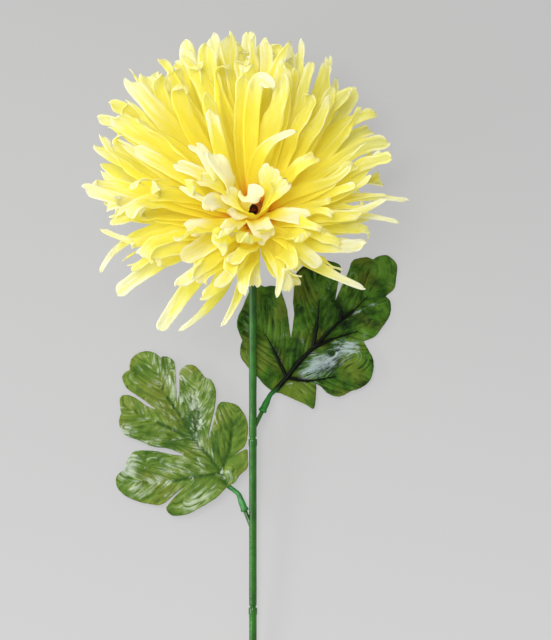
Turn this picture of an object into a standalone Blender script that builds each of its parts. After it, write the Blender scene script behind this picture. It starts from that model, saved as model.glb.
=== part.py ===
# Artificial spider chrysanthemum with two lobed leaves, lying on a flat surface.
# The stem runs along +Y to the bloom, +Z is up from the surface, and one unit is one metre.
import math
import random
from collections import namedtuple

import bmesh
import bpy
from mathutils import Matrix, Vector, geometry

MM = 0.001
GAP = 0.3 * MM

# Where things lie
STEM_X = 4.5 * MM
CUT_END_Y = -169.5 * MM
HEART_Y = 80.0 * MM
HEART_HEIGHT = 39.0 * MM
BLOOM_LEAN = math.radians(30.0)

# Stem and its inner wire
STEM_RADIUS = 1.7 * MM
STEM_SIDES = 12
BORE_RADIUS = 1.0 * MM
BORE_SHORT_OF_TIP = 3.0 * MM
WIRE_RADIUS = 0.65 * MM
WIRE_SIDES = 8
NECK_REACH = 9.0 * MM
NECK_STEPS = 6
COLLAR_RISE = 0.25 * MM
GROOVE_DEPTH = 0.35 * MM
JOINT_YS = (-102.5 * MM, -22.5 * MM, 57.5 * MM)
# A joint between two moulded lengths of the stem: place along it and change of radius
JOINT_STEPS = (
    (-4.0 * MM, 0.0),
    (-3.2 * MM, COLLAR_RISE),
    (-0.6 * MM, COLLAR_RISE),
    (-0.4 * MM, -GROOVE_DEPTH),
    (0.4 * MM, -GROOVE_DEPTH),
    (0.6 * MM, 0.0),
)

# Calyx, which holds the bloom's core in a cup and the stem's end in a socket
CUP_WALL = 1.1 * MM
SOCKET_TOP = 13.6 * MM
SOCKET_END = 20.0 * MM
SOCKET_WALL = 1.0 * MM
SEPALS = 10
SEPAL_STEPS = 4
SEPAL_TIP_POLAR = math.radians(125.0)
SEPAL_NOTCH_POLAR = math.radians(143.0)
# Rings of the cup's two faces, as shares of the way from its pole to its rim
CUP_INNER_SHARES = (0.25, 0.55, 0.8, 1.0)
CUP_OUTER_SHARES = (1.0, 0.8, 0.55)

# Bloom's core and the peg sunk in its eye, as heights above the heart along the bloom's axis
CORE_RADIUS = 12.0 * MM
CORE_STEPS = 8
CORE_SIDES = 18
EYE_RADIUS = 2.8 * MM
EYE_FLOOR = 8.0 * MM
PEG_TOP = 10.6 * MM

# Petals: shares are of a petal's length, polar angles are from the bloom's axis
PETAL_THICKNESS = 0.7 * MM
STATIONS = (0.0, 0.32, 0.62, 0.86, 1.0)
ROOT_RADIUS = 7.5 * MM
ROOT_PULL = 0.38
TIP_PULL = 0.36
ROOT_WIDTH = (0.36, 0.75)
SHORT_PETAL = 65.0 * MM
WIDEST = 0.48
TAPER_START = 0.45
TAPER = 0.6
TIP_START = 0.86
TIP_WIDTH = 0.6
CHANNEL = 0.3
FACE_TURN_POWER = 1.5
CURL_START = 0.62
CURL_POWER = 2.2
SWAY_TURNS = 1.6
HOOK_START = 0.66
LEAST_ROOT_POLAR = math.radians(30.0)
MOST_ROOT_POLAR = math.radians(104.0)
PETAL_FLOOR = 0.4 * MM
FLOOR_SOFTNESS = 2.0 * MM

# Scatter of the whorls: the bloom reaches furthest up to the left, and its front is pressed together
PETAL_SEED = 3
# How far the whorls reach in mm, at every 30 degrees clockwise from the way the stem runs
REACHES = (89.0, 82.0, 77.0, 63.0, 60.0, 62.0, 65.0, 80.0, 79.0, 77.0, 92.0, 94.0)
REACH_SPREAD = (0.91, 1.05)
ROW_OFFSET = 0.618
CROWDING = 0.20
CROWDING_PER_ROW = 0.07
PRESS_AZIMUTH = math.radians(182.0)
PRESS_POLAR = 0.34
PRESS_REACH = 0.14
PRESS_DROOP = math.radians(38.0)
PRESS_WIDTH = 0.28
UPPER_WIDTH = 0.30
UPPER_REACH = 0.85
OPEN_FRONT_ROW = 5
OPEN_FRONT_PRESS = 0.35
AZIMUTH_JITTER = math.radians(3.5)
POLAR_JITTER = math.radians(5.0)
DRIFT_JITTER = math.radians(8.0)
END_JITTER = math.radians(32.0)
TWIST_SPREAD = math.radians(36.0)
WIDTH_SPREAD = (0.85, 1.15)
CURL_RANGE = (-5.0 * MM, 6.0 * MM)
SWAY = 2.6 * MM
HOOK = 6.0 * MM

# Each whorl: petals, polar angle at the root and at the tip, reach against the outermost, half width in mm
WHORLS = (
    (14, 104, 106, 0.86, 3.6),
    (15, 95, 94, 0.93, 3.7),
    (16, 86, 83, 0.98, 3.8),
    (16, 76, 73, 1.00, 3.9),
    (16, 66, 63, 0.97, 3.9),
    (14, 56, 53, 0.90, 3.8),
    (12, 47, 43, 0.78, 3.6),
    (8, 39, 34, 0.62, 3.3),
)

# Petals that stand out of their whorl, by hand: where the tip is from the heart in mm (right, along the
# stem, up), the way the end points (degrees clockwise from along the stem, then down), half width in mm
LONE_PETALS = (
    (-18.5, 29.5, 30.0, 311, 0, 4.1),
    (9.0, 23.5, 30.0, 20, -10, 5.0),
    (4.0, 9.5, 31.0, 120, 15, 3.7),
    (-19.5, 3.0, 33.0, 185, 30, 3.5),
    (-10.5, 1.5, 26.0, 245, 15, 2.9),
    (7.0, -10.0, 34.0, 155, 25, 5.0),
    (25.0, 0.0, 29.0, 100, 5, 3.9),
    (-14.5, -11.5, 35.0, 205, 20, 3.8),
    (-32.0, -19.0, 36.0, 240, 0, 4.8),
    (-30.0, -5.0, 33.0, 262, 5, 4.0),
    (20.0, 39.5, 38.0, 78, 0, 3.2),
    (9.0, 59.0, 38.0, 150, 0, 3.7),
    (-18.5, 48.5, 40.0, 350, -20, 3.5),
    (-53.5, 31.5, 38.0, 300, -5, 3.7),
    (-29.0, 32.5, 37.0, 290, 0, 3.2),
    (-42.5, -51.5, 20.0, 210, 10, 3.8),
    (-34.0, -51.5, 12.0, 240, 10, 2.7),
    (-14.0, -49.5, 15.0, 215, 10, 2.5),
    (-62.5, -34.5, 18.0, 230, 10, 3.8),
    (-70.5, -24.5, 12.0, 205, 10, 2.7),
    (51.5, -32.0, 25.0, 110, 5, 3.2),
    (51.5, -12.0, 35.0, 80, 10, 3.3),
    (71.5, 8.5, 12.0, 100, 0, 2.4),
    (67.5, -1.5, 14.0, 105, 0, 2.3),
    (61.0, 9.0, 25.0, 60, 0, 3.0),
    (11.0, -36.0, 38.0, 200, 10, 3.1),
    (-34.0, -31.0, 40.0, 235, 10, 3.5),
    (-16.5, -31.5, 41.0, 230, 10, 3.3),
    (0.5, -31.0, 28.0, 175, 10, 3.7),
    (-81.5, 14.5, 22.0, 290, 0, 3.4),
    (31.0, -22.0, 36.0, 130, 5, 4.0),
    (15.5, -23.0, 40.0, 150, 10, 3.6),
    (-62.0, 1.5, 34.0, 230, 0, 2.9),
    (-69.0, -5.0, 28.0, 300, 0, 2.5),
    (-52.0, -16.5, 36.0, 260, 0, 3.4),
    (-18.5, 85.5, 8.0, 350, 0, 3.7),
    (-1.5, 88.0, -5.0, 2, 0, 4.2),
    (6.0, 81.5, 12.0, 355, 0, 3.6),
    (-32.0, 80.0, -8.0, 335, 0, 3.5),
    (-63.0, 46.0, 26.0, 300, 0, 5.4),
    (-57.0, 64.0, 14.0, 318, 0, 5.0),
)

# Leaves: lobes and ribs are in mm from the leaf's base; each lobe starts in the notch before it
LEAF_THICKNESS = 0.6 * MM
LEAF_SPACING = 5.0 * MM
LEAF_CLEARANCE = 1.9 * MM
LEAF_FALL_REACH = 70.0 * MM
LEAF_FALL_POWER = 1.3
LEAF_WAVE = 1.0 * MM
LEAF_WAVES_ROUND = 5.0
CREASE_WIDTH = 3.6 * MM
CREASE_DEPTH = 0.8 * MM
LOWER_LEAF_BASE = (-8.0 * MM, -46.0 * MM)
LOWER_LEAF_HEIGHT = 8.4 * MM
LOWER_LEAF_FALL = 6.4 * MM
LOWER_LEAF_LOBES = (
    ((0.0, 0.0), (-5.0, -5.0), (-11.5, -9.0), (-18.0, -12.5), (-24.0, -13.5), (-27.0, -12.5),
     (-28.5, -10.0), (-27.0, -7.5), (-24.0, -4.0)),
    ((-19.0, 1.0), (-23.5, -2.5), (-30.5, -8.0), (-36.0, -8.0), (-42.5, -6.5), (-48.0, -4.0),
     (-51.5, -0.5), (-52.5, 3.5), (-51.0, 6.5)),
    ((-48.0, 8.5), (-47.5, 11.5), (-46.0, 14.5), (-43.5, 17.0), (-38.5, 17.5), (-32.5, 17.0),
     (-25.5, 15.5)),
    ((-20.0, 15.0), (-22.5, 16.5), (-28.0, 18.5), (-35.5, 19.5), (-42.0, 22.5), (-47.5, 24.5),
     (-50.0, 27.5), (-51.0, 31.0)),
    ((-50.0, 35.0), (-50.5, 38.5), (-50.5, 42.0), (-49.0, 43.5), (-46.0, 43.5), (-42.0, 41.5),
     (-38.0, 38.5)),
    ((-33.0, 36.5), (-37.5, 40.0), (-42.5, 43.5), (-47.0, 46.5), (-49.0, 50.0), (-49.5, 52.5),
     (-48.0, 54.5)),
    ((-46.0, 55.5), (-46.0, 58.0), (-45.0, 61.0), (-42.0, 63.5), (-38.0, 64.5), (-34.0, 63.5)),
    ((-31.5, 61.5), (-29.5, 62.0), (-26.5, 61.0), (-24.5, 58.0), (-24.0, 48.0)),
    ((-23.5, 39.5), (-22.5, 46.5), (-22.5, 53.0), (-21.5, 56.0), (-18.5, 58.0), (-15.0, 57.5)),
    ((-12.5, 55.0), (-10.0, 52.0), (-7.5, 51.0), (-5.5, 47.5), (-5.0, 43.5), (-5.5, 38.5),
     (-6.5, 34.0), (-8.0, 27.0)),
    ((-9.0, 21.5), (-6.5, 29.5), (-5.0, 36.0), (-4.0, 39.0), (-2.0, 40.5), (2.0, 40.0), (5.5, 38.5),
     (8.5, 34.5), (10.0, 30.0), (10.0, 25.0), (8.5, 19.5)),
    ((4.0, 15.5), (9.5, 18.0), (10.0, 14.5), (10.0, 9.5), (6.5, 6.0), (4.0, 2.5)),
)
LOWER_LEAF_RIBS = (
    ((0.0, 1.5), (-2.5, 7.0), (-8.0, 14.5), (-14.5, 21.5), (-18.5, 29.5), (-23.0, 35.5),
     (-28.0, 42.5), (-32.0, 50.0)),
    ((-2.5, 7.0), (-10.5, 5.5), (-17.5, 4.5), (-24.5, 3.0), (-38.0, 2.0)),
    ((-14.5, 21.5), (-24.5, 27.0), (-32.5, 30.5), (-41.0, 35.0)),
    ((-14.5, 21.5), (-13.5, 29.5), (-13.0, 37.5), (-15.0, 46.5)),
    ((-2.5, 7.0), (1.5, 18.0), (2.5, 26.5), (3.0, 33.0)),
)
UPPER_LEAF_BASE = (14.5 * MM, -1.0 * MM)
UPPER_LEAF_HEIGHT = 5.6 * MM
UPPER_LEAF_FALL = 4.6 * MM
UPPER_LEAF_LOBES = (
    ((0.0, 0.0), (-4.0, 3.0), (-8.0, 7.5), (-12.0, 11.5), (-15.5, 16.5), (-16.0, 21.0)),
    ((-15.0, 24.5), (-16.5, 28.0), (-17.5, 31.5), (-17.0, 36.0), (-15.0, 40.0), (-13.0, 45.0),
     (-11.0, 49.0), (-7.5, 51.0)),
    ((-4.5, 50.0), (-1.5, 50.5), (2.5, 49.5), (4.0, 46.0), (6.0, 40.0), (7.0, 33.0)),
    ((8.0, 25.5), (9.5, 36.0), (9.0, 43.5), (10.0, 52.5), (11.0, 57.0), (16.0, 61.0), (24.0, 62.5),
     (31.0, 60.5), (31.5, 56.5), (30.0, 49.5)),
    ((29.0, 43.0), (32.5, 51.5), (35.0, 56.5), (37.0, 62.0), (40.0, 63.5), (44.0, 64.0)),
    ((47.0, 63.0), (49.5, 64.5), (53.5, 65.0), (56.5, 63.0), (58.5, 60.0), (58.0, 54.0), (57.0, 49.0)),
    ((53.0, 45.5), (55.0, 43.5), (55.5, 39.5), (54.5, 35.5), (51.5, 31.0), (48.0, 26.5)),
    ((42.5, 24.0), (45.0, 19.5), (47.0, 15.5), (47.0, 10.0), (45.0, 5.0), (41.0, 2.0), (36.5, 0.5),
     (32.5, -1.5), (29.5, -2.0), (25.5, -0.5), (22.5, 2.5)),
    ((20.0, 4.0), (20.0, 1.0), (19.0, -7.5), (15.5, -6.0), (11.0, -4.0), (6.5, -2.0), (3.0, -0.5)),
)
UPPER_LEAF_RIBS = (
    ((1.0, 1.5), (6.0, 7.0), (11.0, 13.5), (18.5, 21.0), (24.0, 26.5), (31.5, 34.0), (37.5, 38.5),
     (44.5, 45.5)),
    ((18.5, 21.0), (20.5, 33.0), (21.5, 43.5)),
    ((18.5, 21.0), (27.0, 25.0), (40.0, 29.0)),
    ((6.0, 7.0), (16.0, 5.5), (29.5, 7.5)),
    ((6.0, 7.0), (0.5, 19.0), (-4.5, 28.0)),
    ((31.5, 34.0), (32.0, 38.0), (31.5, 41.5)),
)

# Leaf stalks: each leaves the stem on a peg, which its sleeve is pushed over
MIDRIB_RADIUS = 1.1 * MM
SIDE_RIB_RADIUS = 0.75 * MM
RIB_TIP_RADIUS = 0.45 * MM
MIDRIB_SIDES = 8
SIDE_RIB_SIDES = 6
PEG_RADIUS = 1.0 * MM
PEG_LENGTH = 13.5 * MM
SLEEVE_START = 10.0 * MM
SLEEVE_RADIUS = 1.9 * MM
STALK_STRAIGHT = 15.0 * MM

Petal = namedtuple("Petal", "root_polar root_azimuth tip tip_way tip_face half_width curl sway hook")
Leaf = namedtuple("Leaf", "base height fall lobes ribs wave_phase frame_side")
LOWER_LEAF = Leaf(LOWER_LEAF_BASE, LOWER_LEAF_HEIGHT, LOWER_LEAF_FALL, LOWER_LEAF_LOBES, LOWER_LEAF_RIBS,
                  0.4, -1.0)
UPPER_LEAF = Leaf(UPPER_LEAF_BASE, UPPER_LEAF_HEIGHT, UPPER_LEAF_FALL, UPPER_LEAF_LOBES, UPPER_LEAF_RIBS,
                  2.1, 1.0)
# Each stalk: its leaf, where it leaves the stem, and its lean from the stem's way
STALKS = (
    (LOWER_LEAF, -66.5 * MM, math.radians(-21.5)),
    (UPPER_LEAF, -19.0 * MM, math.radians(26.0)),
)

AXIS = Vector((0.0, math.sin(BLOOM_LEAN), math.cos(BLOOM_LEAN)))
UPWARD = Vector((0.0, math.cos(BLOOM_LEAN), -math.sin(BLOOM_LEAN)))
RIGHTWARD = Vector((1.0, 0.0, 0.0))
HEART = Vector((STEM_X, HEART_Y, HEART_HEIGHT))
STEM_FOOT = Vector((STEM_X, CUT_END_Y, STEM_RADIUS))
NECK_CORNER = HEART - AXIS * (SOCKET_END + NECK_REACH)


def direction(polar, azimuth):
    """A way out from the heart: polar angle from the bloom's axis, azimuth clockwise seen from above."""
    around = UPWARD * math.cos(azimuth) + RIGHTWARD * math.sin(azimuth)
    return AXIS * math.cos(polar) + around * math.sin(polar)


def clear_scene():
    for item in list(bpy.data.objects):
        bpy.data.objects.remove(item, do_unlink=True)


def make_material(name, colour, roughness, metallic=0.0):
    finish = bpy.data.materials.new(name)
    finish.use_nodes = True
    shader = finish.node_tree.nodes["Principled BSDF"]
    shader.inputs["Base Color"].default_value = (*colour, 1.0)
    shader.inputs["Roughness"].default_value = roughness
    shader.inputs["Metallic"].default_value = metallic
    return finish


def add_object(name, builder, finish=None):
    """Turns a finished bmesh into an object of the scene, with its faces pointing out."""
    bmesh.ops.recalc_face_normals(builder, faces=builder.faces[:])
    mesh = bpy.data.meshes.new(name)
    builder.to_mesh(mesh)
    builder.free()
    item = bpy.data.objects.new(name, mesh)
    bpy.context.scene.collection.objects.link(item)
    if finish:
        mesh.materials.append(finish)
    return item


def shade_round(item, angle_degrees=35.0):
    item.data.shade_smooth()
    item.data.set_sharp_from_angle(angle=math.radians(angle_degrees))


def apply_modifiers(item):
    graph = bpy.context.evaluated_depsgraph_get()
    mesh = bpy.data.meshes.new_from_object(item.evaluated_get(graph))
    item.modifiers.clear()
    item.data = mesh


def unite(base, others):
    """Joins the others to the base in one Boolean union, then removes them."""
    group = bpy.data.collections.new("to join")
    bpy.context.scene.collection.children.link(group)
    for item in others:
        bpy.context.scene.collection.objects.unlink(item)
        group.objects.link(item)
    join = base.modifiers.new("join", "BOOLEAN")
    join.operation = "UNION"
    join.operand_type = "COLLECTION"
    join.collection = group
    join.solver = "MANIFOLD"
    apply_modifiers(base)
    for item in others:
        bpy.data.objects.remove(item, do_unlink=True)
    bpy.data.collections.remove(group)


def keep_largest_body(item):
    """Drops the loose scraps and sealed hollows that a union can leave."""
    builder = bmesh.new()
    builder.from_mesh(item.data)
    unseen = set(builder.verts)
    bodies = []
    while unseen:
        body = set()
        edge_of_body = [unseen.pop()]
        while edge_of_body:
            corner = edge_of_body.pop()
            body.add(corner)
            for edge in corner.link_edges:
                other = edge.other_vert(corner)
                if other in unseen:
                    unseen.remove(other)
                    edge_of_body.append(other)
        bodies.append(body)
    bodies.sort(key=len)
    for body in bodies[:-1]:
        bmesh.ops.delete(builder, geom=list(body), context="VERTS")
    builder.to_mesh(item.data)
    builder.free()


def cut(base, cutter):
    difference = base.modifiers.new("cut", "BOOLEAN")
    difference.operation = "DIFFERENCE"
    difference.object = cutter
    difference.solver = "MANIFOLD"
    apply_modifiers(base)
    bpy.data.objects.remove(cutter, do_unlink=True)


def across_frames(path):
    """Two directions across each point of a path, carried along it without twist."""
    frames = []
    side = Vector((1.0, 0.0, 0.0))
    for index in range(len(path)):
        before = path[max(index - 1, 0)]
        after = path[min(index + 1, len(path) - 1)]
        along = (after - before).normalized()
        side = (side - along * side.dot(along)).normalized()
        frames.append((side, side.cross(along)))
    return frames


def tube(name, path, radii, sides, finish=None):
    """A closed round tube along a path, its radius given at each point."""
    builder = bmesh.new()
    rings = []
    for point, (side, lift), radius in zip(path, across_frames(path), radii):
        ring = []
        for corner in range(sides):
            turn = 2.0 * math.pi * corner / sides
            ring.append(builder.verts.new(point + (side * math.cos(turn) + lift * math.sin(turn)) * radius))
        rings.append(ring)
    join_rings(builder, rings)
    builder.faces.new(rings[0])
    builder.faces.new(rings[-1])
    return add_object(name, builder, finish)


def join_rings(builder, rings):
    for first, second in zip(rings, rings[1:]):
        count = len(first)
        for corner in range(count):
            following = (corner + 1) % count
            builder.faces.new((first[corner], first[following], second[following], second[corner]))


def neck_points():
    """The bend between the straight stem and the calyx, which both run to the neck's corner."""
    along = (NECK_CORNER - STEM_FOOT).normalized()
    start = NECK_CORNER - along * NECK_REACH
    end = NECK_CORNER + AXIS * NECK_REACH
    points = []
    for step in range(NECK_STEPS + 1):
        share = step / NECK_STEPS
        points.append(start.lerp(NECK_CORNER, share).lerp(NECK_CORNER.lerp(end, share), share))
    return points


def stem_point(y):
    return STEM_FOOT.lerp(NECK_CORNER, (y - STEM_FOOT.y) / (NECK_CORNER.y - STEM_FOOT.y))


def stalk_start(start_y, lean, leaf):
    """Where a leaf's stalk starts on the stem's middle line, and its way, down towards the leaf."""
    start = stem_point(start_y)
    foot = rib_points(leaf, leaf.ribs[0])[0]
    reach = math.hypot(foot.x - start.x, foot.y - start.y)
    fall = (foot.z - start.z) / reach
    return start, Vector((math.sin(lean), math.cos(lean), fall)).normalized()


def make_stem(finish):
    """The moulded stem with its joints and a peg for each leaf, bored from its cut end for the wire."""
    path = [STEM_FOOT]
    radii = [STEM_RADIUS]
    for joint_y in JOINT_YS:
        for offset, rise in JOINT_STEPS:
            path.append(stem_point(joint_y + offset))
            radii.append(STEM_RADIUS + rise)
    tip = HEART - AXIS * (SOCKET_TOP + GAP)
    path += neck_points() + [tip]
    radii += [STEM_RADIUS] * (NECK_STEPS + 2)
    stem = tube("stem", path, radii, STEM_SIDES, finish)
    pegs = []
    for leaf, start_y, lean in STALKS:
        start, way = stalk_start(start_y, lean, leaf)
        pegs.append(tube("peg", [start, start + way * PEG_LENGTH], [PEG_RADIUS] * 2, STEM_SIDES))
    unite(stem, pegs)
    bore_end = tip - AXIS * BORE_SHORT_OF_TIP
    mouth = STEM_FOOT + (STEM_FOOT - NECK_CORNER).normalized() * BORE_RADIUS
    bore_path = [mouth] + neck_points() + [bore_end]
    cut(stem, tube("bore", bore_path, [BORE_RADIUS] * len(bore_path), STEM_SIDES))
    shade_round(stem)


def make_wire(finish):
    """The steel wire that stiffens the stem, from the cut end through the neck."""
    end = HEART - AXIS * (SOCKET_TOP + GAP + BORE_SHORT_OF_TIP + GAP)
    path = [STEM_FOOT] + neck_points() + [end]
    shade_round(tube("stem_wire", path, [WIRE_RADIUS] * len(path), WIRE_SIDES, finish))


def turned_point(radius, height, azimuth):
    """A point about the bloom's axis: height is measured from the heart."""
    around = UPWARD * math.cos(azimuth) + RIGHTWARD * math.sin(azimuth)
    return HEART + AXIS * height + around * radius


def turned(name, profile, sides, finish=None):
    """A solid turned about the bloom's axis; the profile goes from pole to pole."""
    builder = bmesh.new()
    rings = []
    for radius, height in profile[1:-1]:
        rings.append([builder.verts.new(turned_point(radius, height, 2.0 * math.pi * corner / sides))
                      for corner in range(sides)])
    join_rings(builder, rings)
    for pole, ring in ((profile[0], rings[0]), (profile[-1], rings[-1])):
        point = builder.verts.new(turned_point(0.0, pole[1], 0.0))
        for corner in range(sides):
            builder.faces.new((point, ring[corner], ring[(corner + 1) % sides]))
    return add_object(name, builder, finish)


def sphere_point(radius, polar):
    return (radius * math.sin(polar), radius * math.cos(polar))


def make_calyx(finish):
    """The cup behind the bloom: pointed sepals, and a socket below for the stem's end."""
    inner = CORE_RADIUS + GAP
    outer = inner + CUP_WALL
    bore = STEM_RADIUS + GAP
    sides = SEPALS * SEPAL_STEPS
    builder = bmesh.new()
    rings = []
    faces = [(inner, share) for share in CUP_INNER_SHARES] + [(outer, share) for share in CUP_OUTER_SHARES]
    for shell, share in faces:
        ring = []
        for corner in range(sides):
            azimuth = 2.0 * math.pi * corner / sides
            point = abs(math.cos(0.5 * SEPALS * azimuth))
            rim = SEPAL_NOTCH_POLAR + (SEPAL_TIP_POLAR - SEPAL_NOTCH_POLAR) * point
            radius, height = sphere_point(shell, math.pi + (rim - math.pi) * share)
            ring.append(builder.verts.new(turned_point(radius, height, azimuth)))
        rings.append(ring)
    for radius, height in ((bore + SOCKET_WALL, -SOCKET_TOP - SOCKET_WALL), (bore + SOCKET_WALL, -SOCKET_END),
                           (bore, -SOCKET_END), (bore, -SOCKET_TOP)):
        rings.append([builder.verts.new(turned_point(radius, height, 2.0 * math.pi * corner / sides))
                      for corner in range(sides)])
    join_rings(builder, rings)
    for height, ring in ((-inner, rings[0]), (-SOCKET_TOP, rings[-1])):
        pole = builder.verts.new(turned_point(0.0, height, 0.0))
        for corner in range(sides):
            builder.faces.new((pole, ring[corner], ring[(corner + 1) % sides]))
    shade_round(add_object("calyx", builder, finish), 50.0)


def make_centre_peg(finish):
    """The dark end of the plastic peg that the bloom is threaded on, sunk in the bloom's eye."""
    radius = EYE_RADIUS - GAP
    profile = ((0.0, EYE_FLOOR + GAP), (radius, EYE_FLOOR + GAP), (radius, PEG_TOP - 0.5 * radius),
               (0.75 * radius, PEG_TOP - 0.15 * radius), (0.0, PEG_TOP))
    shade_round(turned("centre_peg", profile, STEM_SIDES, finish))


def bearing(vector):
    """Azimuth of a way out from the heart."""
    return math.atan2(vector.dot(RIGHTWARD), vector.dot(UPWARD))


def spread(draw, most):
    return draw.uniform(-most, most)


def reach_at(azimuth):
    """How far the outermost petals reach at an azimuth."""
    place = azimuth / (2.0 * math.pi) * len(REACHES)
    before = REACHES[math.floor(place) % len(REACHES)]
    after = REACHES[(math.floor(place) + 1) % len(REACHES)]
    return (before + (after - before) * (place - math.floor(place))) * MM


def whorl_petals():
    """The petals in their whorls, from the outermost in, with a seeded scatter."""
    draw = random.Random(PETAL_SEED)
    petals = []
    for row, (count, root_polar, tip_polar, share, half_width) in enumerate(WHORLS):
        for number in range(count):
            turn = 2.0 * math.pi * (number + ROW_OFFSET * row) / count
            azimuth = turn - (CROWDING + CROWDING_PER_ROW * row) * math.sin(turn) + spread(draw, AZIMUTH_JITTER)
            press = max(0.0, math.cos(azimuth - PRESS_AZIMUTH))
            upper = max(0.0, math.cos(azimuth))
            if row >= OPEN_FRONT_ROW and press > OPEN_FRONT_PRESS:
                continue
            polar = (math.radians(tip_polar) + spread(draw, POLAR_JITTER)) * (1.0 - PRESS_POLAR * press)
            reach = reach_at(azimuth) * (share + (1.0 - share) * UPPER_REACH * upper)
            reach *= draw.uniform(*REACH_SPREAD) * (1.0 - PRESS_REACH * press)
            tip_azimuth = azimuth + spread(draw, DRIFT_JITTER)
            end_polar = polar + spread(draw, END_JITTER) + PRESS_DROOP * press
            end_azimuth = tip_azimuth + spread(draw, END_JITTER)
            tip_way = direction(end_polar, end_azimuth)
            twist = Matrix.Rotation(draw.gauss(0.0, TWIST_SPREAD), 3, tip_way)
            petals.append(Petal(
                root_polar=math.radians(root_polar) * (1.0 - 0.5 * PRESS_POLAR * press),
                root_azimuth=azimuth,
                tip=direction(polar, tip_azimuth) * reach,
                tip_way=tip_way,
                tip_face=twist @ direction(end_polar - 0.5 * math.pi, end_azimuth),
                half_width=half_width * MM * draw.uniform(*WIDTH_SPREAD) * (1.0 + PRESS_WIDTH * press
                                                                            + UPPER_WIDTH * upper),
                curl=draw.uniform(*CURL_RANGE),
                sway=spread(draw, SWAY),
                hook=spread(draw, HOOK),
            ))
    return petals


def lone_petals():
    """The petals listed by hand; each root points at the start of the tip's own way."""
    petals = []
    for right, along, up, heading, dip, half_width in LONE_PETALS:
        tip = Vector((right, along, up)) * MM
        level = math.cos(math.radians(dip))
        tip_way = Vector((math.sin(math.radians(heading)) * level, math.cos(math.radians(heading)) * level,
                          -math.sin(math.radians(dip))))
        toward = tip - tip_way * (TIP_PULL * tip.length)
        petals.append(Petal(
            root_polar=max(LEAST_ROOT_POLAR, min(MOST_ROOT_POLAR, AXIS.angle(toward))),
            root_azimuth=bearing(toward),
            tip=tip,
            tip_way=tip_way,
            tip_face=Vector((0.0, 0.0, 1.0)),
            half_width=half_width * MM,
            curl=0.0,
            sway=0.0,
            hook=0.0,
        ))
    return petals


def above_floor(point):
    """Bends a point that would be under the surface up to lie along it."""
    spare = (point.z - PETAL_FLOOR) / FLOOR_SOFTNESS
    if spare < 12.0:
        point.z = PETAL_FLOOR + FLOOR_SOFTNESS * math.log(1.0 + math.exp(spare))
    return point


def petal_length(petal):
    """Straight from root to tip."""
    return (petal.tip - direction(petal.root_polar, petal.root_azimuth) * ROOT_RADIUS).length


def petal_point(petal, share):
    """The petal's middle line: a Bezier curve from the heart to the tip, whose end may curl and hook."""
    root_way = direction(petal.root_polar, petal.root_azimuth)
    root = HEART + root_way * ROOT_RADIUS
    tip = HEART + petal.tip
    length = petal_length(petal)
    first = root + root_way * (ROOT_PULL * length)
    second = tip - petal.tip_way * (TIP_PULL * length)
    rest = 1.0 - share
    point = root * rest ** 3 + first * (3.0 * share * rest ** 2)
    point += second * (3.0 * share ** 2 * rest) + tip * share ** 3
    if share > CURL_START:
        point += petal.tip_face * (petal.curl * ((share - CURL_START) / (1.0 - CURL_START)) ** CURL_POWER)
    hooked = max(0.0, (share - HOOK_START) / (1.0 - HOOK_START)) ** 2
    sideways = petal.sway * share * math.sin(SWAY_TURNS * math.pi * share) + petal.hook * hooked
    point += petal.tip_way.cross(petal.tip_face) * sideways
    return above_floor(point)


def petal_section(petal, share):
    """Middle point, way across and way up through the petal at a share of its length."""
    point = petal_point(petal, share)
    along = petal_point(petal, share + 0.01) - petal_point(petal, share - 0.01)
    along.normalize()
    root_face = direction(petal.root_polar - 0.5 * math.pi, petal.root_azimuth)
    face = root_face.lerp(petal.tip_face, share ** FACE_TURN_POWER)
    side = along.cross(face).normalized()
    return point, side, side.cross(along)


def petal_width(petal, share):
    """Half width: narrow at the root unless the petal is short, widest by the middle, then down to a round tip."""
    root = max(ROOT_WIDTH[0], min(ROOT_WIDTH[1], 1.0 - petal_length(petal) / SHORT_PETAL))
    swell = root + (1.0 - root) * math.sin(0.5 * math.pi * min(1.0, share / WIDEST))
    late = max(0.0, (share - TAPER_START) / (1.0 - TAPER_START))
    swell *= 1.0 - (1.0 - TAPER) * late * late * (3.0 - 2.0 * late)
    if share > TIP_START:
        rounding = math.sqrt(1.0 - ((share - TIP_START) / (1.0 - TIP_START)) ** 2)
        swell *= TIP_WIDTH + (1.0 - TIP_WIDTH) * rounding
    return petal.half_width * swell


def petal_solid(petal):
    """One petal as a thin channelled blade, split into triangles alike on both faces."""
    builder = bmesh.new()
    sections = []
    for share in STATIONS:
        point, side, lift = petal_section(petal, share)
        half_width = petal_width(petal, share)
        middle = point - lift * (CHANNEL * half_width)
        left = point - side * half_width
        right = point + side * half_width
        for corner, least in ((middle, 0.51 * PETAL_THICKNESS), (left, 0.0), (right, 0.0)):
            corner.z = max(corner.z, least)
        top = middle + lift * (0.5 * PETAL_THICKNESS)
        under = middle - lift * (0.5 * PETAL_THICKNESS)
        sections.append([builder.verts.new(corner) for corner in (left, top, right, under)])
    for near, far in zip(sections, sections[1:]):
        for edge, face in ((0, 1), (0, 3), (2, 1), (2, 3)):
            builder.faces.new((near[edge], near[face], far[face]))
            builder.faces.new((near[edge], far[face], far[edge]))
    builder.faces.new(sections[0])
    builder.faces.new(sections[-1])
    return add_object("petal", builder)


def make_bloom(finish):
    """All the petals and the small core that their roots are sunk in, as one solid."""
    rim_polar = math.asin(EYE_RADIUS / CORE_RADIUS)
    profile = [(0.0, EYE_FLOOR), (EYE_RADIUS, EYE_FLOOR)]
    for step in range(CORE_STEPS):
        polar = rim_polar + (math.pi - rim_polar) * step / CORE_STEPS
        profile.append(sphere_point(CORE_RADIUS, polar))
    profile.append((0.0, -CORE_RADIUS))
    bloom = turned("bloom", profile, CORE_SIDES, finish)
    unite(bloom, [petal_solid(petal) for petal in whorl_petals() + lone_petals()])
    keep_largest_body(bloom)


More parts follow.
